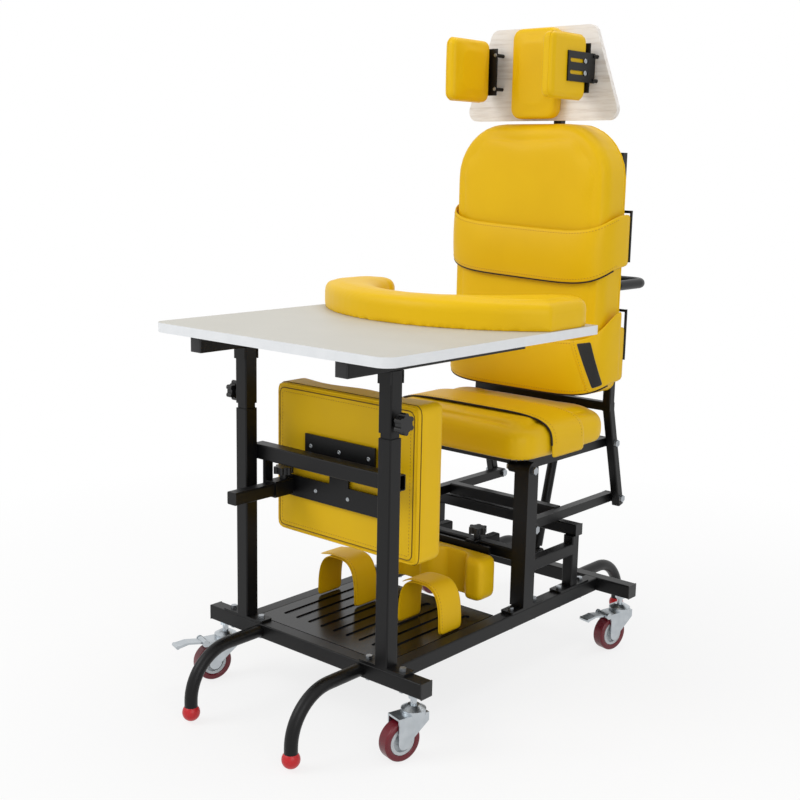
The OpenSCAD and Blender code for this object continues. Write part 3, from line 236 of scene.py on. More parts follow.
def make_materials():
    """Every finish of the frame, by a short name."""
    return {
        "vinyl": yellow_vinyl("embossed_yellow_vinyl", "#e6b704", "#f2c608"),
        "belt": yellow_vinyl("yellow_belt_vinyl", "#e4b504", "#f0c308", 1.8),
        "thread": moulded_plastic("yellow_sewing_thread", "#b07c08", "#c08c10"),
        # Dark brown of the two thin knee welts: painted shade in the folds beside a seam.
        "crease": moulded_plastic("shaded_seam_fold", "#5f4204", "#775406", (0.6, 0.75)),
        # Dark brown on belt undersides and along belt edges: painted shade under the belts.
        "painted_shade": moulded_plastic("painted_dark_belt_shade", "#1c1410", "#2a1d15", (0.7, 0.85)),
        "hook": hook_tape("black_hook_tape"),
        "backing": hook_tape("black_backing_cloth"),
        "black": powder_coat("black_powder_coat", "#070708", "#0e0e0f"),
        "plate": powder_coat("footplate_powder_coat", "#08080a", "#101112", (0.16, 0.28)),
        "zinc": zinc_plate("bright_zinc_plate", "#a4abb0", "#ccd1d5"),
        "bolt": zinc_plate("zinc_plated_bolt", "#8c9196", "#b4b8bc"),
        "rod": zinc_plate("polished_strut_rod", "#b8bbbe", "#d0d3d6", (0.08, 0.16)),
        "tread": moulded_plastic("maroon_polyurethane", "#5e0f1c", "#761725", (0.22, 0.34)),
        "hub": moulded_plastic("grey_nylon_hub", "#bac0c4", "#ced3d6"),
        "tip": moulded_plastic("red_rubber_ball", "#b8141c", "#d2222a", (0.28, 0.4)),
        "knob": moulded_plastic("black_knob_plastic", "#08080a", "#101012"),
        "tray": white_laminate("white_melamine"),
        "tray_edge": moulded_plastic("pale_edge_band", "#e3e6e9", "#f0f2f4"),
        "wood": grain_laminate("pale_grain_laminate"),
    }


SLOT_FINISH = {
    "frame_paint": "black", "footplate_paint": "plate", "tip_rubber": "tip", "zinc": "zinc", "tread": "tread",
    "yellow_vinyl": "vinyl", "yellow_belt": "belt", "tray_laminate": "tray",
    "head_laminate": "wood", "knob_plastic": "knob", "cap_plastic": "knob", "bolt_steel": "bolt",
    "strut_rod_steel": "rod",
}


def dress(obj, *materials):
    """Gives an object its materials in slot order."""
    obj.data.materials.clear()
    for made in materials:
        obj.data.materials.append(made)


def dress_cad_nodes(finish):
    """Materials for the CAD nodes that stay in view."""
    for part in frame["record"]["subparts"]:
        dress(NODES[part["node"]], finish[SLOT_FINISH[part["material_slot"]]])
    hub_radius = 25.5 * MM
    for joint in frame["joints"]:
        if joint["name"].startswith("roll_"):
            wheel = NODES["caster_wheel_" + joint["name"][-2:]]
            dress(wheel, finish["tread"], finish["hub"])
            centre, axle = Vector(joint["pos_m"]), Vector(joint["axis"])
            for face in wheel.data.polygons:
                arm = face.center - centre
                face.material_index = 1 if (arm - axle * arm.dot(axle)).length < hub_radius else 0
    board = NODES["tray_board"]
    dress(board, finish["tray"], finish["tray_edge"])
    for face in board.data.polygons:
        face.material_index = 0 if abs(face.normal.z) > 0.5 else 1


# Mesh helpers

def linked(name, mesh):
    """Object at the origin round a mesh, smooth shaded."""
    for face in mesh.polygons:
        face.use_smooth = True
    obj = bpy.data.objects.new(name, mesh)
    SCENE.collection.objects.link(obj)
    return obj


def to_object(bm, name):
    """Object from a bmesh with outward normals."""
    bmesh.ops.recalc_face_normals(bm, faces=bm.faces)
    mesh = bpy.data.meshes.new(name)
    bm.to_mesh(mesh)
    bm.free()
    return linked(name, mesh)


def baked(obj):
    """Applies an object's modifiers to its mesh."""
    bpy.context.view_layer.update()
    graph = bpy.context.evaluated_depsgraph_get()
    mesh = bpy.data.meshes.new_from_object(obj.evaluated_get(graph))
    obj.modifiers.clear()
    obj.data = mesh
    for face in mesh.polygons:
        face.use_smooth = True


def piece(obj, body, slot, *materials, replaces=()):
    """Finishes a piece: its materials, its body and the nodes that it stands for, which it hides; the slot is not
    used.
    """
    dress(obj, *materials)
    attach(obj, body)
    if replaces:
        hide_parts(*replaces)
    return obj


def subdivided(obj):
    """Smooths a piece with one level of subdivision surface."""
    smooth = obj.modifiers.new("smooth", "SUBSURF")
    smooth.levels = smooth.render_levels = 1


def bevelled(bm, edges, offset, segments):
    """Rounds edges of a bmesh."""
    bmesh.ops.bevel(bm, geom=edges, offset=offset, affect="EDGES", segments=segments, profile=0.5,
                    material=-1)


def pad_block(width, height, depth, low_corner, high_corner, edge, rear_edge=None):
    """Pad in X and Y, from z 0 to its depth, with two corner radii and a rounded rim on each side."""
    bm = bmesh.new()
    bmesh.ops.create_cube(bm, size=1)
    bmesh.ops.scale(bm, vec=(width, height, depth), verts=bm.verts)
    bmesh.ops.translate(bm, vec=(0, 0, depth / 2), verts=bm.verts)
    for sign, radius in ((-1, low_corner), (1, high_corner)):
        upright = [e for e in bm.edges if abs(e.verts[0].co.z - e.verts[1].co.z) > depth / 2
                   and e.verts[0].co.y * sign > height * 0.49]
        bevelled(bm, upright, radius, 8)
    for at_front, radius in ((True, edge), (False, rear_edge or edge)):
        rim = [e for e in bm.edges if abs(e.verts[0].co.z - e.verts[1].co.z) < MM and len(e.link_faces) == 2
               and e.calc_face_angle() > 1 and (e.verts[0].co.z > depth / 2) == at_front]
        bevelled(bm, rim, radius, 4)
    return bm


def remeshed(obj, voxel):
    """Even mesh of small quads over a closed shape."""
    change = obj.modifiers.new("even", "REMESH")
    change.mode = "VOXEL"
    change.voxel_size = voxel
    baked(obj)


def evened(mesh, shifts, rounds):
    """Movements of a mesh's points, averaged with those of their neighbours a few times."""
    near = [[] for _ in shifts]
    for edge in mesh.edges:
        a, b = edge.vertices
        near[a].append(b)
        near[b].append(a)
    for _ in range(rounds):
        shifts = [(shift + sum((shifts[k] for k in ring), Vector())) / (len(ring) + 1)
                  for shift, ring in zip(shifts, near)]
    return shifts


def swollen(obj, cap, flat):
    """Swells a closed pad by a short cloth run: points within flat of z 0 stay, others move by up to cap."""
    frames, evening_rounds = 20, 18
    rest = [v.co.copy() for v in obj.data.vertices]
    cloth = obj.modifiers.new("swell", "CLOTH")
    values = cloth.settings
    values.quality = 4
    values.use_pressure = True
    values.uniform_pressure_force = 4.0
    values.effector_weights.gravity = 0
    cloth.collision_settings.use_collision = False
    group = obj.vertex_groups.new(name="held")
    group.add([i for i, co in enumerate(rest) if co.z < flat], 1.0, "REPLACE")
    values.vertex_group_mass = "held"
    cloth.point_cache.frame_start, cloth.point_cache.frame_end = 1, frames
    for step in range(1, frames + 1):
        SCENE.frame_set(step)
    graph = bpy.context.evaluated_depsgraph_get()
    moved = [v.co.copy() for v in obj.evaluated_get(graph).data.vertices]
    obj.modifiers.clear()
    obj.vertex_groups.clear()
    SCENE.frame_set(1)
    shifts = evened(obj.data, [new - old for old, new in zip(rest, moved)], evening_rounds)
    normals = [v.normal.copy() for v in obj.data.vertices]
    for vertex, old, shift, normal in zip(obj.data.vertices, rest, shifts, normals):
        if old.z >= flat:
            shift = shift - normal * min(0.0, shift.dot(normal))
            vertex.co = old + shift * min(1, cap / max(shift.length, cap * 0.01))


def stuffed(name, bm, voxel, swell, flat=3 * MM, hollow=None):
    """Pad from a block: an even mesh, hollowed where asked, then swollen off its flat rear side."""
    pad = to_object(bm, name)
    remeshed(pad, voxel)
    if hollow:
        for vertex in pad.data.vertices:
            vertex.co.z += hollow(vertex.co)
    swollen(pad, swell, flat)
    return pad


def placed(obj, across, upward, outward, origin):
    """Moves a mesh from its own axes to three directions and an origin of the frame."""
    turn = Matrix((across, upward, outward)).transposed().to_4x4()
    obj.data.transform(Matrix.Translation(origin) @ turn)
    if turn.determinant() < 0:
        obj.data.flip_normals()


def tube(name, points, radius, closed=False, sides=4):
    """Round tube along a list of points, as a mesh."""
    curve = bpy.data.curves.new(name, "CURVE")
    curve.dimensions = "3D"
    curve.bevel_depth = radius
    curve.bevel_resolution = sides
    curve.use_fill_caps = not closed
    line = curve.splines.new("POLY")
    line.points.add(len(points) - 1)
    for point, place in zip(line.points, points):
        point.co = (*place, 1)
    line.use_cyclic_u = closed
    holder = bpy.data.objects.new(name, curve)
    SCENE.collection.objects.link(holder)
    bpy.context.view_layer.update()
    mesh = bpy.data.meshes.new_from_object(holder.evaluated_get(bpy.context.evaluated_depsgraph_get()))
    bpy.data.objects.remove(holder)
    return linked(name, mesh)


def rounded_loop(width, height, low_corner, high_corner, steps=10):
    """Points round a rectangle with rounded corners, anticlockwise in X and Y."""
    points = []
    for sx, sy, radius, first in ((1, -1, low_corner, -90), (1, 1, high_corner, 0), (-1, 1, high_corner, 90),
                                  (-1, -1, low_corner, 180)):
        for k in range(steps + 1):
            a = math.radians(first + 90 * k / steps)
            points.append(Vector((sx * (width / 2 - radius) + radius * math.cos(a),
                                  sy * (height / 2 - radius) + radius * math.sin(a), 0)))
    return points


def evenly(points, gap, closed=True):
    """Points along a line about gap apart, each with its direction."""
    ring = points + points[:1] if closed else points
    out, left = [], 0.0
    for a, b in zip(ring, ring[1:]):
        length = (b - a).length
        while left < length:
            out.append((a.lerp(b, left / length), (b - a).normalized()))
            left += gap
        left -= length
    return out


def on_surface(obj, points):
    """Each point moved to the nearest place on an object's surface."""
    tree = BVHTree.FromObject(obj, bpy.context.evaluated_depsgraph_get())
    return [tree.find_nearest(p)[0] for p in points]


def stitches(name, obj, points, pitch=6.5 * MM, length=4.2 * MM, thick=0.75 * MM, closed=True):
    """Row of sewn stitches along a line on an object's surface."""
    tree = BVHTree.FromObject(obj, bpy.context.evaluated_depsgraph_get())
    bm = bmesh.new()
    for place, along in evenly(points, pitch, closed):
        spot, normal, _, _ = tree.find_nearest(place)
        side = normal.cross(along).normalized()
        along = side.cross(normal).normalized()
        turn = Matrix((along, side, normal)).transposed().to_4x4()
        shape = Matrix.Diagonal((length / 2, thick, thick, 1))
        bmesh.ops.create_icosphere(bm, subdivisions=1, radius=1,
                                   matrix=Matrix.Translation(spot) @ turn @ shape)
    return to_object(bm, name)


def screw_head(bm, spot, outward, radius):
    """Button-head screw on a surface, with a round recess for its key."""
    tall, crown, rim, recess = radius * 0.5, radius * 0.62, radius * 0.28, radius * 0.3
    turn = Z.rotation_difference(outward).to_matrix().to_4x4()
    made = bmesh.ops.create_cone(bm, cap_ends=True, segments=20, radius1=radius, radius2=crown, depth=tall,
                                 matrix=Matrix.Translation(spot + outward * tall / 2) @ turn)
    cap = max((f for v in made["verts"] for f in v.link_faces),
              key=lambda f: f.calc_center_median().dot(outward))
    bmesh.ops.inset_region(bm, faces=[cap], thickness=rim)
    bmesh.ops.translate(bm, vec=-outward * recess, verts=cap.verts)


def backed(obj, outward, depth=4 * MM):
    """Second material on the faces that look the other way and lie within a depth of the rear side."""
    rear = min(v.co.dot(outward) for v in obj.data.vertices)
    for face in obj.data.polygons:
        behind = face.center.dot(outward) < rear + depth and face.normal.dot(outward) < -0.7
        face.material_index = 1 if behind else 0


# Upholstery

def covered(pad, body, node, fill, *looks):
    """Vinyl cover on a finished pad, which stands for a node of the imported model."""
    subdivided(pad)
    piece(pad, body, "yellow_vinyl", *looks, replaces=[node])


def seam_ring(name, pad, points, radius):
    """Welt sewn round a pad, pressed half into its surface."""
    return tube(name, on_surface(pad, points), radius, closed=True, sides=3)


def add_back_cushion(finish):
    """Tall back pad with round shoulders, black backing cloth and a welt round its rear rim."""
    low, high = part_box("back_cushion")
    width, height, depth = high.x - low.x, high.z - low.z, 84 * MM
    foot, shoulder, welt_out = 34 * MM, 118 * MM, 1 * MM
    block = pad_block(width + 6 * MM, height - 2 * MM, depth, foot, shoulder, edge=24 * MM, rear_edge=6 * MM)
    pad = stuffed("back_pad", block, voxel=6 * MM, swell=7 * MM)
    middle = Vector((0, high.y, (low.z + high.z) / 2))
    placed(pad, X, Z, -Y, middle)
    covered(pad, "back", "back_cushion", 0.8, finish["vinyl"], finish["backing"])
    backed(pad, -Y)
    rim = [Vector((p.x, high.y - 2 * MM, middle.z + p.y))
           for p in rounded_loop(width + 8 * MM, height, foot + welt_out, shoulder + welt_out, 14)]
    welt = seam_ring("back_pad_welt", pad, [spot for spot, _ in evenly(rim, 9 * MM)], 2.8 * MM)
    piece(welt, "back", "yellow_vinyl", finish["vinyl"])


def add_seat_cushion(finish):
    """Thick seat pad, with backing cloth underneath."""
    low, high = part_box("seat_cushion")
    width, length, depth = high.x - low.x, high.y - low.y, 66 * MM
    block = pad_block(width - 4 * MM, length - 4 * MM, depth, low_corner=50 * MM, high_corner=62 * MM,
                      edge=28 * MM, rear_edge=20 * MM)
    pad = stuffed("seat_pad", block, voxel=6 * MM, swell=12 * MM)
    placed(pad, X, Y, Z, Vector((0, (low.y + high.y) / 2, low.z)))
    covered(pad, "seat", "seat_cushion", 0.85, finish["vinyl"], finish["backing"])
    backed(pad, Z)


def add_headrest_pads(finish):
    """Middle pad on the headrest's board, the pad on each side of the head, and what carries those."""
    low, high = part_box("headrest_pad")
    corner = 22 * MM
    block = pad_block(high.x - low.x - 4 * MM, high.z - low.z - 4 * MM, 31 * MM, corner, corner, edge=11 * MM)
    pad = stuffed("headrest_middle_pad", block, voxel=4 * MM, swell=5 * MM, flat=2 * MM)
    placed(pad, X, Z, -Y, Vector((0, high.y, (low.z + high.z) / 2)))
    covered(pad, "head", "headrest_pad", 0.8, finish["vinyl"])
    for key, body, sign in (("l", "head_pad_left", -1), ("r", "head_pad_right", 1)):
        add_side_pad(key, body, sign, finish)
    add_head_flanges(finish)


def add_side_pad(key, body, sign, finish):
    """Small boxed cushion beside the head, with its two screws through the slotted plate."""
    node = "side_pad_" + key
    low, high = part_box(node)
    outer = min(abs(low.x), abs(high.x)) + 33 * MM
    front = low.y - 14 * MM
    length, height, corner = high.y - front, high.z - low.z, 16 * MM
    block = pad_block(length - 4 * MM, height - 4 * MM, 29 * MM, corner, corner, edge=11 * MM)
    pad = stuffed("head_side_pad_" + key, block, voxel=4 * MM, swell=4 * MM, flat=2 * MM)
    middle = Vector((sign * outer, (front + high.y) / 2, (low.z + high.z) / 2))
    placed(pad, -sign * Y, Z, -sign * X, middle)
    welt_points = [Vector((sign * (outer - 9 * MM), middle.y + p.x, middle.z + p.y))
                   for p in rounded_loop(length, height, corner, corner)]
    welt = seam_ring("head_side_welt_" + key, pad, welt_points, 1.3 * MM)
    covered(pad, body, node, 0.85, finish["vinyl"])
    piece(welt, body, "yellow_vinyl", finish["vinyl"])
    bm = bmesh.new()
    plate_x, screw_y = sign * (outer + 3.4 * MM), high.y - 16 * MM
    for rise in (-12 * MM, 12 * MM):
        screw_head(bm, Vector((plate_x, screw_y, middle.z + rise)), sign * X, 6 * MM)
    piece(to_object(bm, "head_side_screws_" + key), body, "bolt_steel", finish["bolt"])


def add_head_flanges(finish):
    """Bent ends of the headrest's side plates, each bolted to two short rods on the board."""
    front, thick, wide, tall, rise = (size * MM for size in (303.5, 3, 45, 100, 36))
    flange_x, bolt_x, rod_x = 119.5 * MM, 102 * MM, 103 * MM
    low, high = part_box("headrest_brackets")
    level = (low.z + high.z) / 2
    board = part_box("headrest_board")[0].y
    for key, sign in (("l", -1), ("r", 1)):
        bm = bmesh.new()
        bmesh.ops.create_cube(bm, size=1)
        bmesh.ops.scale(bm, vec=(wide, thick, tall), verts=bm.verts)
        bmesh.ops.translate(bm, vec=(sign * flange_x, front + thick / 2, level), verts=bm.verts)
        bevelled(bm, list(bm.edges), 0.8 * MM, 2)
        piece(to_object(bm, "headrest_flange_" + key), "head", "frame_paint", finish["black"])
        bm = bmesh.new()
        for end, z in (("low", level - rise), ("high", level + rise)):
            screw_head(bm, Vector((sign * bolt_x, front, z)), -Y, 4.5 * MM)
            ends = [Vector((sign * rod_x, y, z)) for y in (front + thick, board - 0.2 * MM)]
            rod = tube(f"headrest_rod_{key}_{end}", ends, 4 * MM)
            piece(rod, "head", "frame_paint", finish["black"])
        piece(to_object(bm, "headrest_flange_bolts_" + key), "head", "bolt_steel", finish["bolt"])


def knee_dish(co, width, depth, hollow):
    """Two upright hollows in the face at full depth."""
    share = max(0.0, co.z / depth)
    wave = math.sin(2 * math.pi * (co.x / width + 0.5)) ** 2
    return -share ** 2 * hollow * wave


def add_knee_pad(finish):
    """Knee pad with two hollows for the knees, three welts round its front edge and its plates' screws; the two
    thin dark welts are painted shade in the seam folds.
    """
    low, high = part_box("knee_pad")
    width, height, depth = high.x - low.x + 16 * MM, high.z - low.z, high.y - low.y
    front, corner = low.y + 4 * MM, 14 * MM
    block = pad_block(width - 4 * MM, height - 4 * MM, depth - 8 * MM, corner, corner, edge=11 * MM)
    pad = stuffed("knee_cushion", block, voxel=6 * MM, swell=5 * MM,
                  hollow=lambda co: knee_dish(co, width, depth, 20 * MM))
    middle = Vector((4 * MM, front, (low.z + high.z) / 2))
    placed(pad, X, Z, Y, middle)
    covered(pad, "knee", "knee_pad", 0.85, finish["vinyl"])

    def loop(margin, setback, corner, steps):
        both = 2 * margin * MM
        return [Vector((middle.x + p.x, front + setback * MM, middle.z + p.y))
                for p in rounded_loop(width - both, height - both, corner, corner, steps)]

    # Each seam's margin from the outline, setback from the front and radius in millimetres, and its finish: vinyl,
    # or the dark brown of painted shade in the seam's fold
    seams = ((12, -1, 1.0, "crease"), (4, 2, 2.2, "vinyl"), (0, 9, 1.0, "crease"))
    for k, (margin, setback, radius, look) in enumerate(seams):
        points = [spot for spot, _ in evenly(loop(margin, setback, 12 * MM, 6), 8 * MM)]
        welt = seam_ring(f"knee_seam_{k}", pad, points, radius * MM)
        piece(welt, "knee", "yellow_vinyl", finish[look])
    bm = bmesh.new()
    plate_front = low.y - 3.6 * MM
    for x, z in ((-76, 506), (0, 506), (76, 506), (-62, 418), (24, 418), (108, 418)):
        screw_head(bm, Vector((x * MM, plate_front, z * MM)), -Y, 5 * MM)
    piece(to_object(bm, "knee_plate_screws"), "knee", "bolt_steel", finish["bolt"])
    row = stitches("knee_border_stitches", pad, loop(20, 0, 5 * MM, 10))
    piece(row, "knee", "yellow_vinyl", finish["thread"])


def calf_hollow(co, width, depth, hollow):
    """Two hollows with steep walls, between a middle ridge and proud ends, in the face at full depth."""
    ridge, end, slope = 0.06, 0.76, 0.2
    across = abs(co.x) / (width / 2)
    inner = min(1.0, max(0.0, (across - ridge) / slope))
    outer = min(1.0, max(0.0, (end - across) / slope))
    wall = min(inner, outer)
    return -max(0.0, co.z / depth) ** 2 * hollow * wall * wall * (3 - 2 * wall)


def add_calf_pad(finish):
    """Low pad behind the calves, hollowed for each leg."""
    low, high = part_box("calf_pad")
    width, height, depth, corner = high.x - low.x, high.z - low.z, high.y - low.y + 8 * MM, 16 * MM
    block = pad_block(width - 4 * MM, height - 4 * MM, depth, corner, corner, edge=12 * MM)
    pad = stuffed("calf_cushion", block, voxel=5 * MM, swell=4 * MM,
                  hollow=lambda co: calf_hollow(co, width, depth, 30 * MM))
    placed(pad, X, Z, -Y, Vector((0, high.y - 4 * MM, (low.z + high.z) / 2)))
    covered(pad, "calf", "calf_pad", 0.85, finish["vinyl"])


def add_rail_plugs(finish):
    """Moulded plugs that close the ends of the two tray rails, each with a raised middle and broken edges."""
    low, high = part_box("tray_rails")
    side = high.z - low.z
    head, thick, stand_off = side - 0.6 * MM, 2.4 * MM, 1.25 * MM
    bm = bmesh.new()
    for x in (low.x + side / 2, high.x - side / 2):
        for y, out in ((low.y, -1), (high.y, 1)):
            corners = bmesh.ops.create_cube(bm, size=1)["verts"]
            bmesh.ops.scale(bm, vec=(head, thick, head), verts=corners)
            bmesh.ops.translate(bm, vec=(x, y + out * stand_off, low.z + side / 2), verts=corners)
            bm.normal_update()
            face = max({f for v in corners for f in v.link_faces}, key=lambda f: f.normal.y * out)
            bmesh.ops.inset_region(bm, faces=[face], thickness=3 * MM, use_even_offset=True)
            bmesh.ops.translate(bm, vec=(0, out * 1.2 * MM, 0), verts=face.verts)
    sharp = [e for e in bm.edges if len(e.link_faces) == 2 and e.calc_face_angle() > 0.3]
    bevelled(bm, sharp, 0.7 * MM, 2)
    piece(to_object(bm, "tray_rail_plugs"), "tray", "cap_plastic", finish["knob"])


def add_bolster(finish):
    """Foam collar round the cut-out: a shallow front arc, two arms with rounded ends."""
    low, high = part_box("tray_bolster")
    trim = 2 * MM
    arm, inner = 97 * MM - 2 * trim, 200.5 * MM + trim
    curve_r, front = 400 * MM - trim, low.y + trim
    tall = high.z - low.z - 3 * MM
    hub_y = 120 * MM
    end_y = hub_y - 40.5 * MM
    outer = inner + arm
    spread = math.asin(outer / curve_r)
    turn_in = math.asin((hub_y - end_y) / inner) + math.radians(6)
    bm = bmesh.new()

    def arc(start, centre, angle, steps):
        corner = bm.verts.new((*start, 0))
        bmesh.ops.spin(bm, geom=[corner], cent=(*centre, 0), axis=(0, 0, 1), dvec=(0, 0, 0), angle=angle,
                       steps=steps, use_merge=False)

    arc_y = front + curve_r
    arc((-outer, arc_y - curve_r * math.cos(spread)), (0, arc_y), 2 * spread, 24)
    arc((outer, end_y), ((inner + outer) / 2, end_y), math.pi, 12)
    arc((inner * math.cos(turn_in), hub_y - inner * math.sin(turn_in)), (0, hub_y), 2 * turn_in - math.pi, 28)
    arc((-inner, end_y), (-(inner + outer) / 2, end_y), math.pi, 12)
    top = bm.faces.new(list(bm.verts))
    grown = bmesh.ops.extrude_face_region(bm, geom=[top])["geom"]
    bmesh.ops.translate(bm, vec=(0, 0, tall), verts=[g for g in grown if isinstance(g, bmesh.types.BMVert)])
    rim = [e for e in bm.edges if min(v.co.z for v in e.verts) > tall / 2]
    bevelled(bm, rim, 20 * MM, 4)
    pad = stuffed("tray_bolster_pad", bm, voxel=5 * MM, swell=5 * MM)
    pad.data.transform(Matrix.Translation((0, 0, low.z)))
    covered(pad, "tray", "tray_bolster", 0.9, finish["vinyl"])


# Belts

def arch(share, half_width, reach, power=0.4):
    """Point on a squared-off arch from +X over the front to -X, for a share from 0 to 1."""
    a = math.pi * share
    c, s = math.cos(a), math.sin(a)
    return math.copysign(abs(c) ** power, c) * half_width, max(s, 0.0) ** power * reach


def sheet_grid(name, place, along, across, inside):
    """Curved sheet whose face looks away from inside: place gives a point for shares along and across it."""
    bm = bmesh.new()
    bmesh.ops.create_grid(bm, x_segments=along, y_segments=across, size=0.5)
    for vertex in bm.verts:
        vertex.co = place(vertex.co.x + 0.5, vertex.co.y + 0.5)
    bm.normal_update()
    if sum(f.normal.dot(f.calc_center_median() - inside) for f in bm.faces) < 0:
        bmesh.ops.reverse_faces(bm, faces=bm.faces)
    mesh = bpy.data.meshes.new(name)
    bm.to_mesh(mesh)
    bm.free()
    return linked(name, mesh)


def band(name, place, along, across, thick, inside):
    """Padded band whose inner side takes the second material."""
    obj = sheet_grid(name, place, along, across, inside)
    wall = obj.modifiers.new("wall", "SOLIDIFY")
    wall.thickness = thick
    wall.offset = 0
    wall.material_offset = 1
    wall.material_offset_rim = 0
    subdivided(obj)
    return obj


def edge_line(place, across, first=0.0, last=1.0, count=90):
    """Points along a band at one share across it."""
    return [place(first + (last - first) * k / count, across) for k in range(count + 1)]


def add_body_belts(finish):
    """Chest and hip belts: padded bands round the backrest, back to the wire loops on the uprights."""
    for key, sag, slant in (("chest_belt", 40 * MM, 0.04), ("hip_belt", 30 * MM, 0.0)):
        low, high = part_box(key)
        half, rear, reach = high.x - 2 * MM, high.y, high.y - low.y - 2 * MM
        tall = high.z - low.z - sag
        inside = Vector((0, rear, (low.z + high.z) / 2))

        def place(u, v, half=half, rear=rear, reach=reach, tall=tall, sag=sag, top=high.z, slant=slant):
            x, y = arch(u, half, reach)
            front = math.sin(math.pi * u)
            return Vector((x, rear - y + 7 * MM * front * (v - 0.5) ** 2 * 4,
                           top - tall + v * tall - sag * front - slant * x))

        belt = band(key + "_band", place, 72, 8, 4 * MM, inside)
        rows = [stitches(f"{key}_stitches_{k}", belt, edge_line(place, v, 0.04, 0.96), closed=False)
                for k, v in enumerate((0.07, 0.93))]
        # Thin dark brown tube tucked just behind the lower edge: painted shade in the gap under the belt.
        lower_edge = [spot + 1.2 * MM * Y for spot in edge_line(place, 0.0, 0.06, 0.94)]
        painted_shade = tube(key + "_shade_edge_line", lower_edge, 2.2 * MM, sides=2)
        piece(belt, "back", "yellow_belt", finish["belt"], finish["belt"], replaces=[key])
        for row in rows:
            piece(row, "back", "yellow_belt", finish["thread"])
        piece(painted_shade, "back", "yellow_belt", finish["painted_shade"])
        if key == "hip_belt":
            add_hook_strip(place, inside, finish)


def add_hook_strip(place, inside, finish):
    """End tab of the hip belt, lapped over it and rising to the rear, with a slanted strip of hook tape."""
    def lifted(u, v, height):
        middle = place(u, v)
        out = Vector((middle.x - inside.x, middle.y - inside.y, 0)).normalized()
        return middle + out * height

    def on_tab(u, v):
        return lifted(0.004 + u * (0.25 + 0.13 * v), 0.02 + v * (0.98 + 0.3 * (1 - u) ** 2), 3.4 * MM)

    def on_strip(u, v):
        return lifted(0.115 + 0.1 * u + 0.13 * v, 0.08 + 0.86 * v, 5.6 * MM)

    tab = band("hip_belt_end_tab", on_tab, 24, 10, 2.6 * MM, inside)
    free_end = [on_tab(0.95, 0.03 + 0.94 * k / 30) for k in range(31)]
    row = stitches("hip_belt_tab_stitches", tab, free_end, closed=False)
    strip = band("hip_belt_hook_tape", on_strip, 6, 12, 1.6 * MM, inside)
    piece(tab, "back", "yellow_belt", finish["belt"], finish["belt"])
    piece(row, "back", "yellow_belt", finish["thread"])
    piece(strip, "back", "yellow_belt", finish["hook"], finish["hook"])


def add_thigh_belt(finish):
    """Lap belt over the seat, with painted shade on its underside and as a dark line along its front edge."""
    low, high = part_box("thigh_belt")
    half, reach = high.x - 2 * MM, high.z - low.z - 2 * MM
    wide = high.y - low.y + 24 * MM
    inside = Vector((0, (low.y + high.y) / 2, low.z))

    def place(u, v):
        x, z = arch(u, half, reach)
        return Vector((x, low.y + v * wide, low.z + z))

    belt = band("thigh_belt_band", place, 72, 8, 4 * MM, inside)
    rows = [stitches(f"thigh_belt_stitches_{k}", belt, edge_line(place, v, 0.03, 0.97), closed=False)
            for k, v in enumerate((0.1, 0.9))]
    # Thin dark brown tube along the front edge, and the dark brown underside: painted shade under the belt.
    painted_shade = tube("thigh_belt_shade_edge_line", edge_line(place, 0.0, 0.02, 0.98), 2 * MM, sides=2)
    piece(belt, "seat", "yellow_belt", finish["belt"], finish["painted_shade"], replaces=["thigh_belt"])
    for row in rows:
        piece(row, "seat", "yellow_belt", finish["thread"])
    piece(painted_shade, "seat", "yellow_belt", finish["painted_shade"])


def add_foot_straps(finish):
    """Arched foot straps: an under band, and an over band that laps it and ends free past the crown."""
    low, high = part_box("foot_straps")
    reach = high.z - low.z - 1.5 * MM
    proud = 7 * MM
    wide = high.y - low.y + 2 * proud
    for key, centre, lift in (("l", -112 * MM, 15), ("r", 112 * MM, 8)):
        inside = Vector((centre, (low.y + high.y) / 2, low.z))

        def place(u, v, centre=centre):
            x, z = arch(u, 52 * MM, reach, 0.62)
            return Vector((centre + x, low.y - proud + v * wide, low.z + z))

        def lap(u, v, place=place, inside=inside, lift=lift):
            middle = place(0.74 * u, 0.03 + 0.94 * v)
            out = Vector((middle.x - inside.x, 0, middle.z - inside.z)).normalized()
            return middle + out * (2.8 + lift * u ** 8) * MM

        strap = band("foot_strap_" + key, place, 48, 4, 3 * MM, inside)
        flap = band("foot_strap_lap_" + key, lap, 28, 4, 2.4 * MM, inside)
        row = stitches("foot_strap_stitches_" + key, flap, edge_line(lap, 0.1, 0.02, 0.98, 40), closed=False)
        piece(strap, "base", "yellow_belt", finish["belt"], finish["belt"],
              replaces=["foot_straps"] if key == "l" else ())
        piece(flap, "base", "yellow_belt", finish["belt"], finish["hook"])
        piece(row, "base", "yellow_belt", finish["thread"])


# Stage

def seen_directly(tree):
    """1 where the backdrop is seen, directly, in a reflection or through glass, and 0 for other light."""
    path = add(tree, "ShaderNodeLightPath").outputs
    either = add(tree, "ShaderNodeMath", {"operation": "MAXIMUM"},
                 {0: path["Is Camera Ray"], 1: path["Is Glossy Ray"]}).outputs["Value"]
    return add(tree, "ShaderNodeMath", {"operation": "MAXIMUM"},
               {0: either, 1: path["Is Transmission Ray"]}).outputs["Value"]


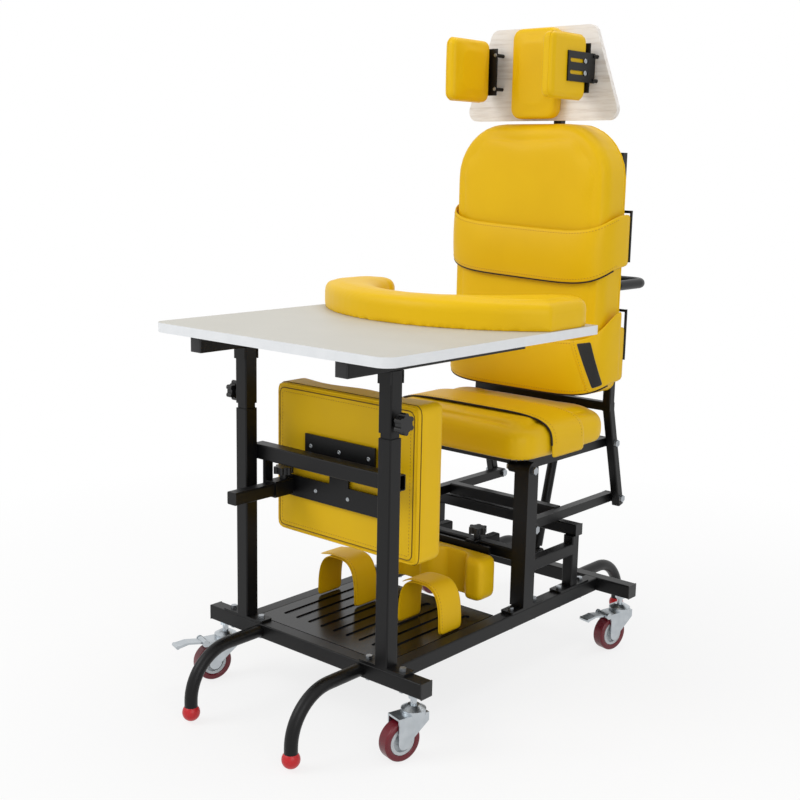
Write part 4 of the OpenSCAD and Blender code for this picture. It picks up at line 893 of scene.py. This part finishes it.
def add_stage():
    """White studio floor and backdrop that keep the soft shadow under the wheels."""
    bm = bmesh.new()
    bmesh.ops.create_grid(bm, x_segments=1, y_segments=1, size=30)
    floor = to_object(bm, "studio_floor")
    made = bpy.data.materials.new("matt_white_paper")
    made.use_nodes = True
    tree = made.node_tree
    tree.nodes.clear()
    matt = add(tree, "ShaderNodeBsdfDiffuse", {"Color": linear("#f4f4f4")})
    glow = add(tree, "ShaderNodeEmission", {"Strength": 1.0})
    seen = seen_directly(tree)
    place = add(tree, "ShaderNodeTexCoord").outputs["Object"]
    away = add(tree, "ShaderNodeVectorMath", {"operation": "LENGTH"}, {0: place}).outputs["Value"]
    fade = add(tree, "ShaderNodeMapRange", {"From Min": 0.5, "From Max": 1.8, "To Min": 0.8, "To Max": 1.0},
               {"Value": away}).outputs["Result"]
    share = add(tree, "ShaderNodeMath", {"operation": "MULTIPLY"}, {0: seen, 1: fade}).outputs["Value"]
    mix = add(tree, "ShaderNodeMixShader",
              links={0: share, 1: matt.outputs["BSDF"], 2: glow.outputs["Emission"]})
    add(tree, "ShaderNodeOutputMaterial", links={"Surface": mix.outputs["Shader"]})
    dress(floor, made)

    world = bpy.data.worlds.new("studio")
    SCENE.world = world
    world.use_nodes = True
    tree = world.node_tree
    tree.nodes.clear()
    seen = seen_directly(tree)
    level = add(tree, "ShaderNodeMapRange", {"To Min": 0.5, "To Max": 1.0}, {"Value": seen}).outputs["Result"]
    light = add(tree, "ShaderNodeBackground", {"Color": (1, 1, 1, 1)}, {"Strength": level})
    add(tree, "ShaderNodeOutputWorld", links={"Surface": light.outputs["Background"]})


def add_lamp(name, place, target, size, power):
    """Square softbox aimed at a point."""
    data = bpy.data.lights.new(name, "AREA")
    data.size = size
    data.energy = power
    lamp = bpy.data.objects.new(name, data)
    lamp.location = place
    lamp.rotation_euler = (Vector(target) - Vector(place)).to_track_quat("-Z", "Y").to_euler()
    SCENE.collection.objects.link(lamp)


def add_lamps():
    """Key, fill and top softboxes round the frame's middle."""
    middle = (0, 0, 0.7)
    add_lamp("key_softbox", (-1.6, -2.6, 2.8), middle, 1.8, 46)
    add_lamp("fill_softbox", (2.8, -1.6, 1.6), middle, 1.6, 22)
    add_lamp("top_softbox", (0.2, 0.8, 3.2), middle, 2.0, 24)


SCENE.view_settings.view_transform = "Standard"
add_camera()
add_stage()
add_lamps()
finishes = make_materials()
dress_cad_nodes(finishes)
add_back_cushion(finishes)
add_seat_cushion(finishes)
add_headrest_pads(finishes)
add_knee_pad(finishes)
add_calf_pad(finishes)
add_bolster(finishes)
add_rail_plugs(finishes)
add_body_belts(finishes)
add_thigh_belt(finishes)
add_foot_straps(finishes)
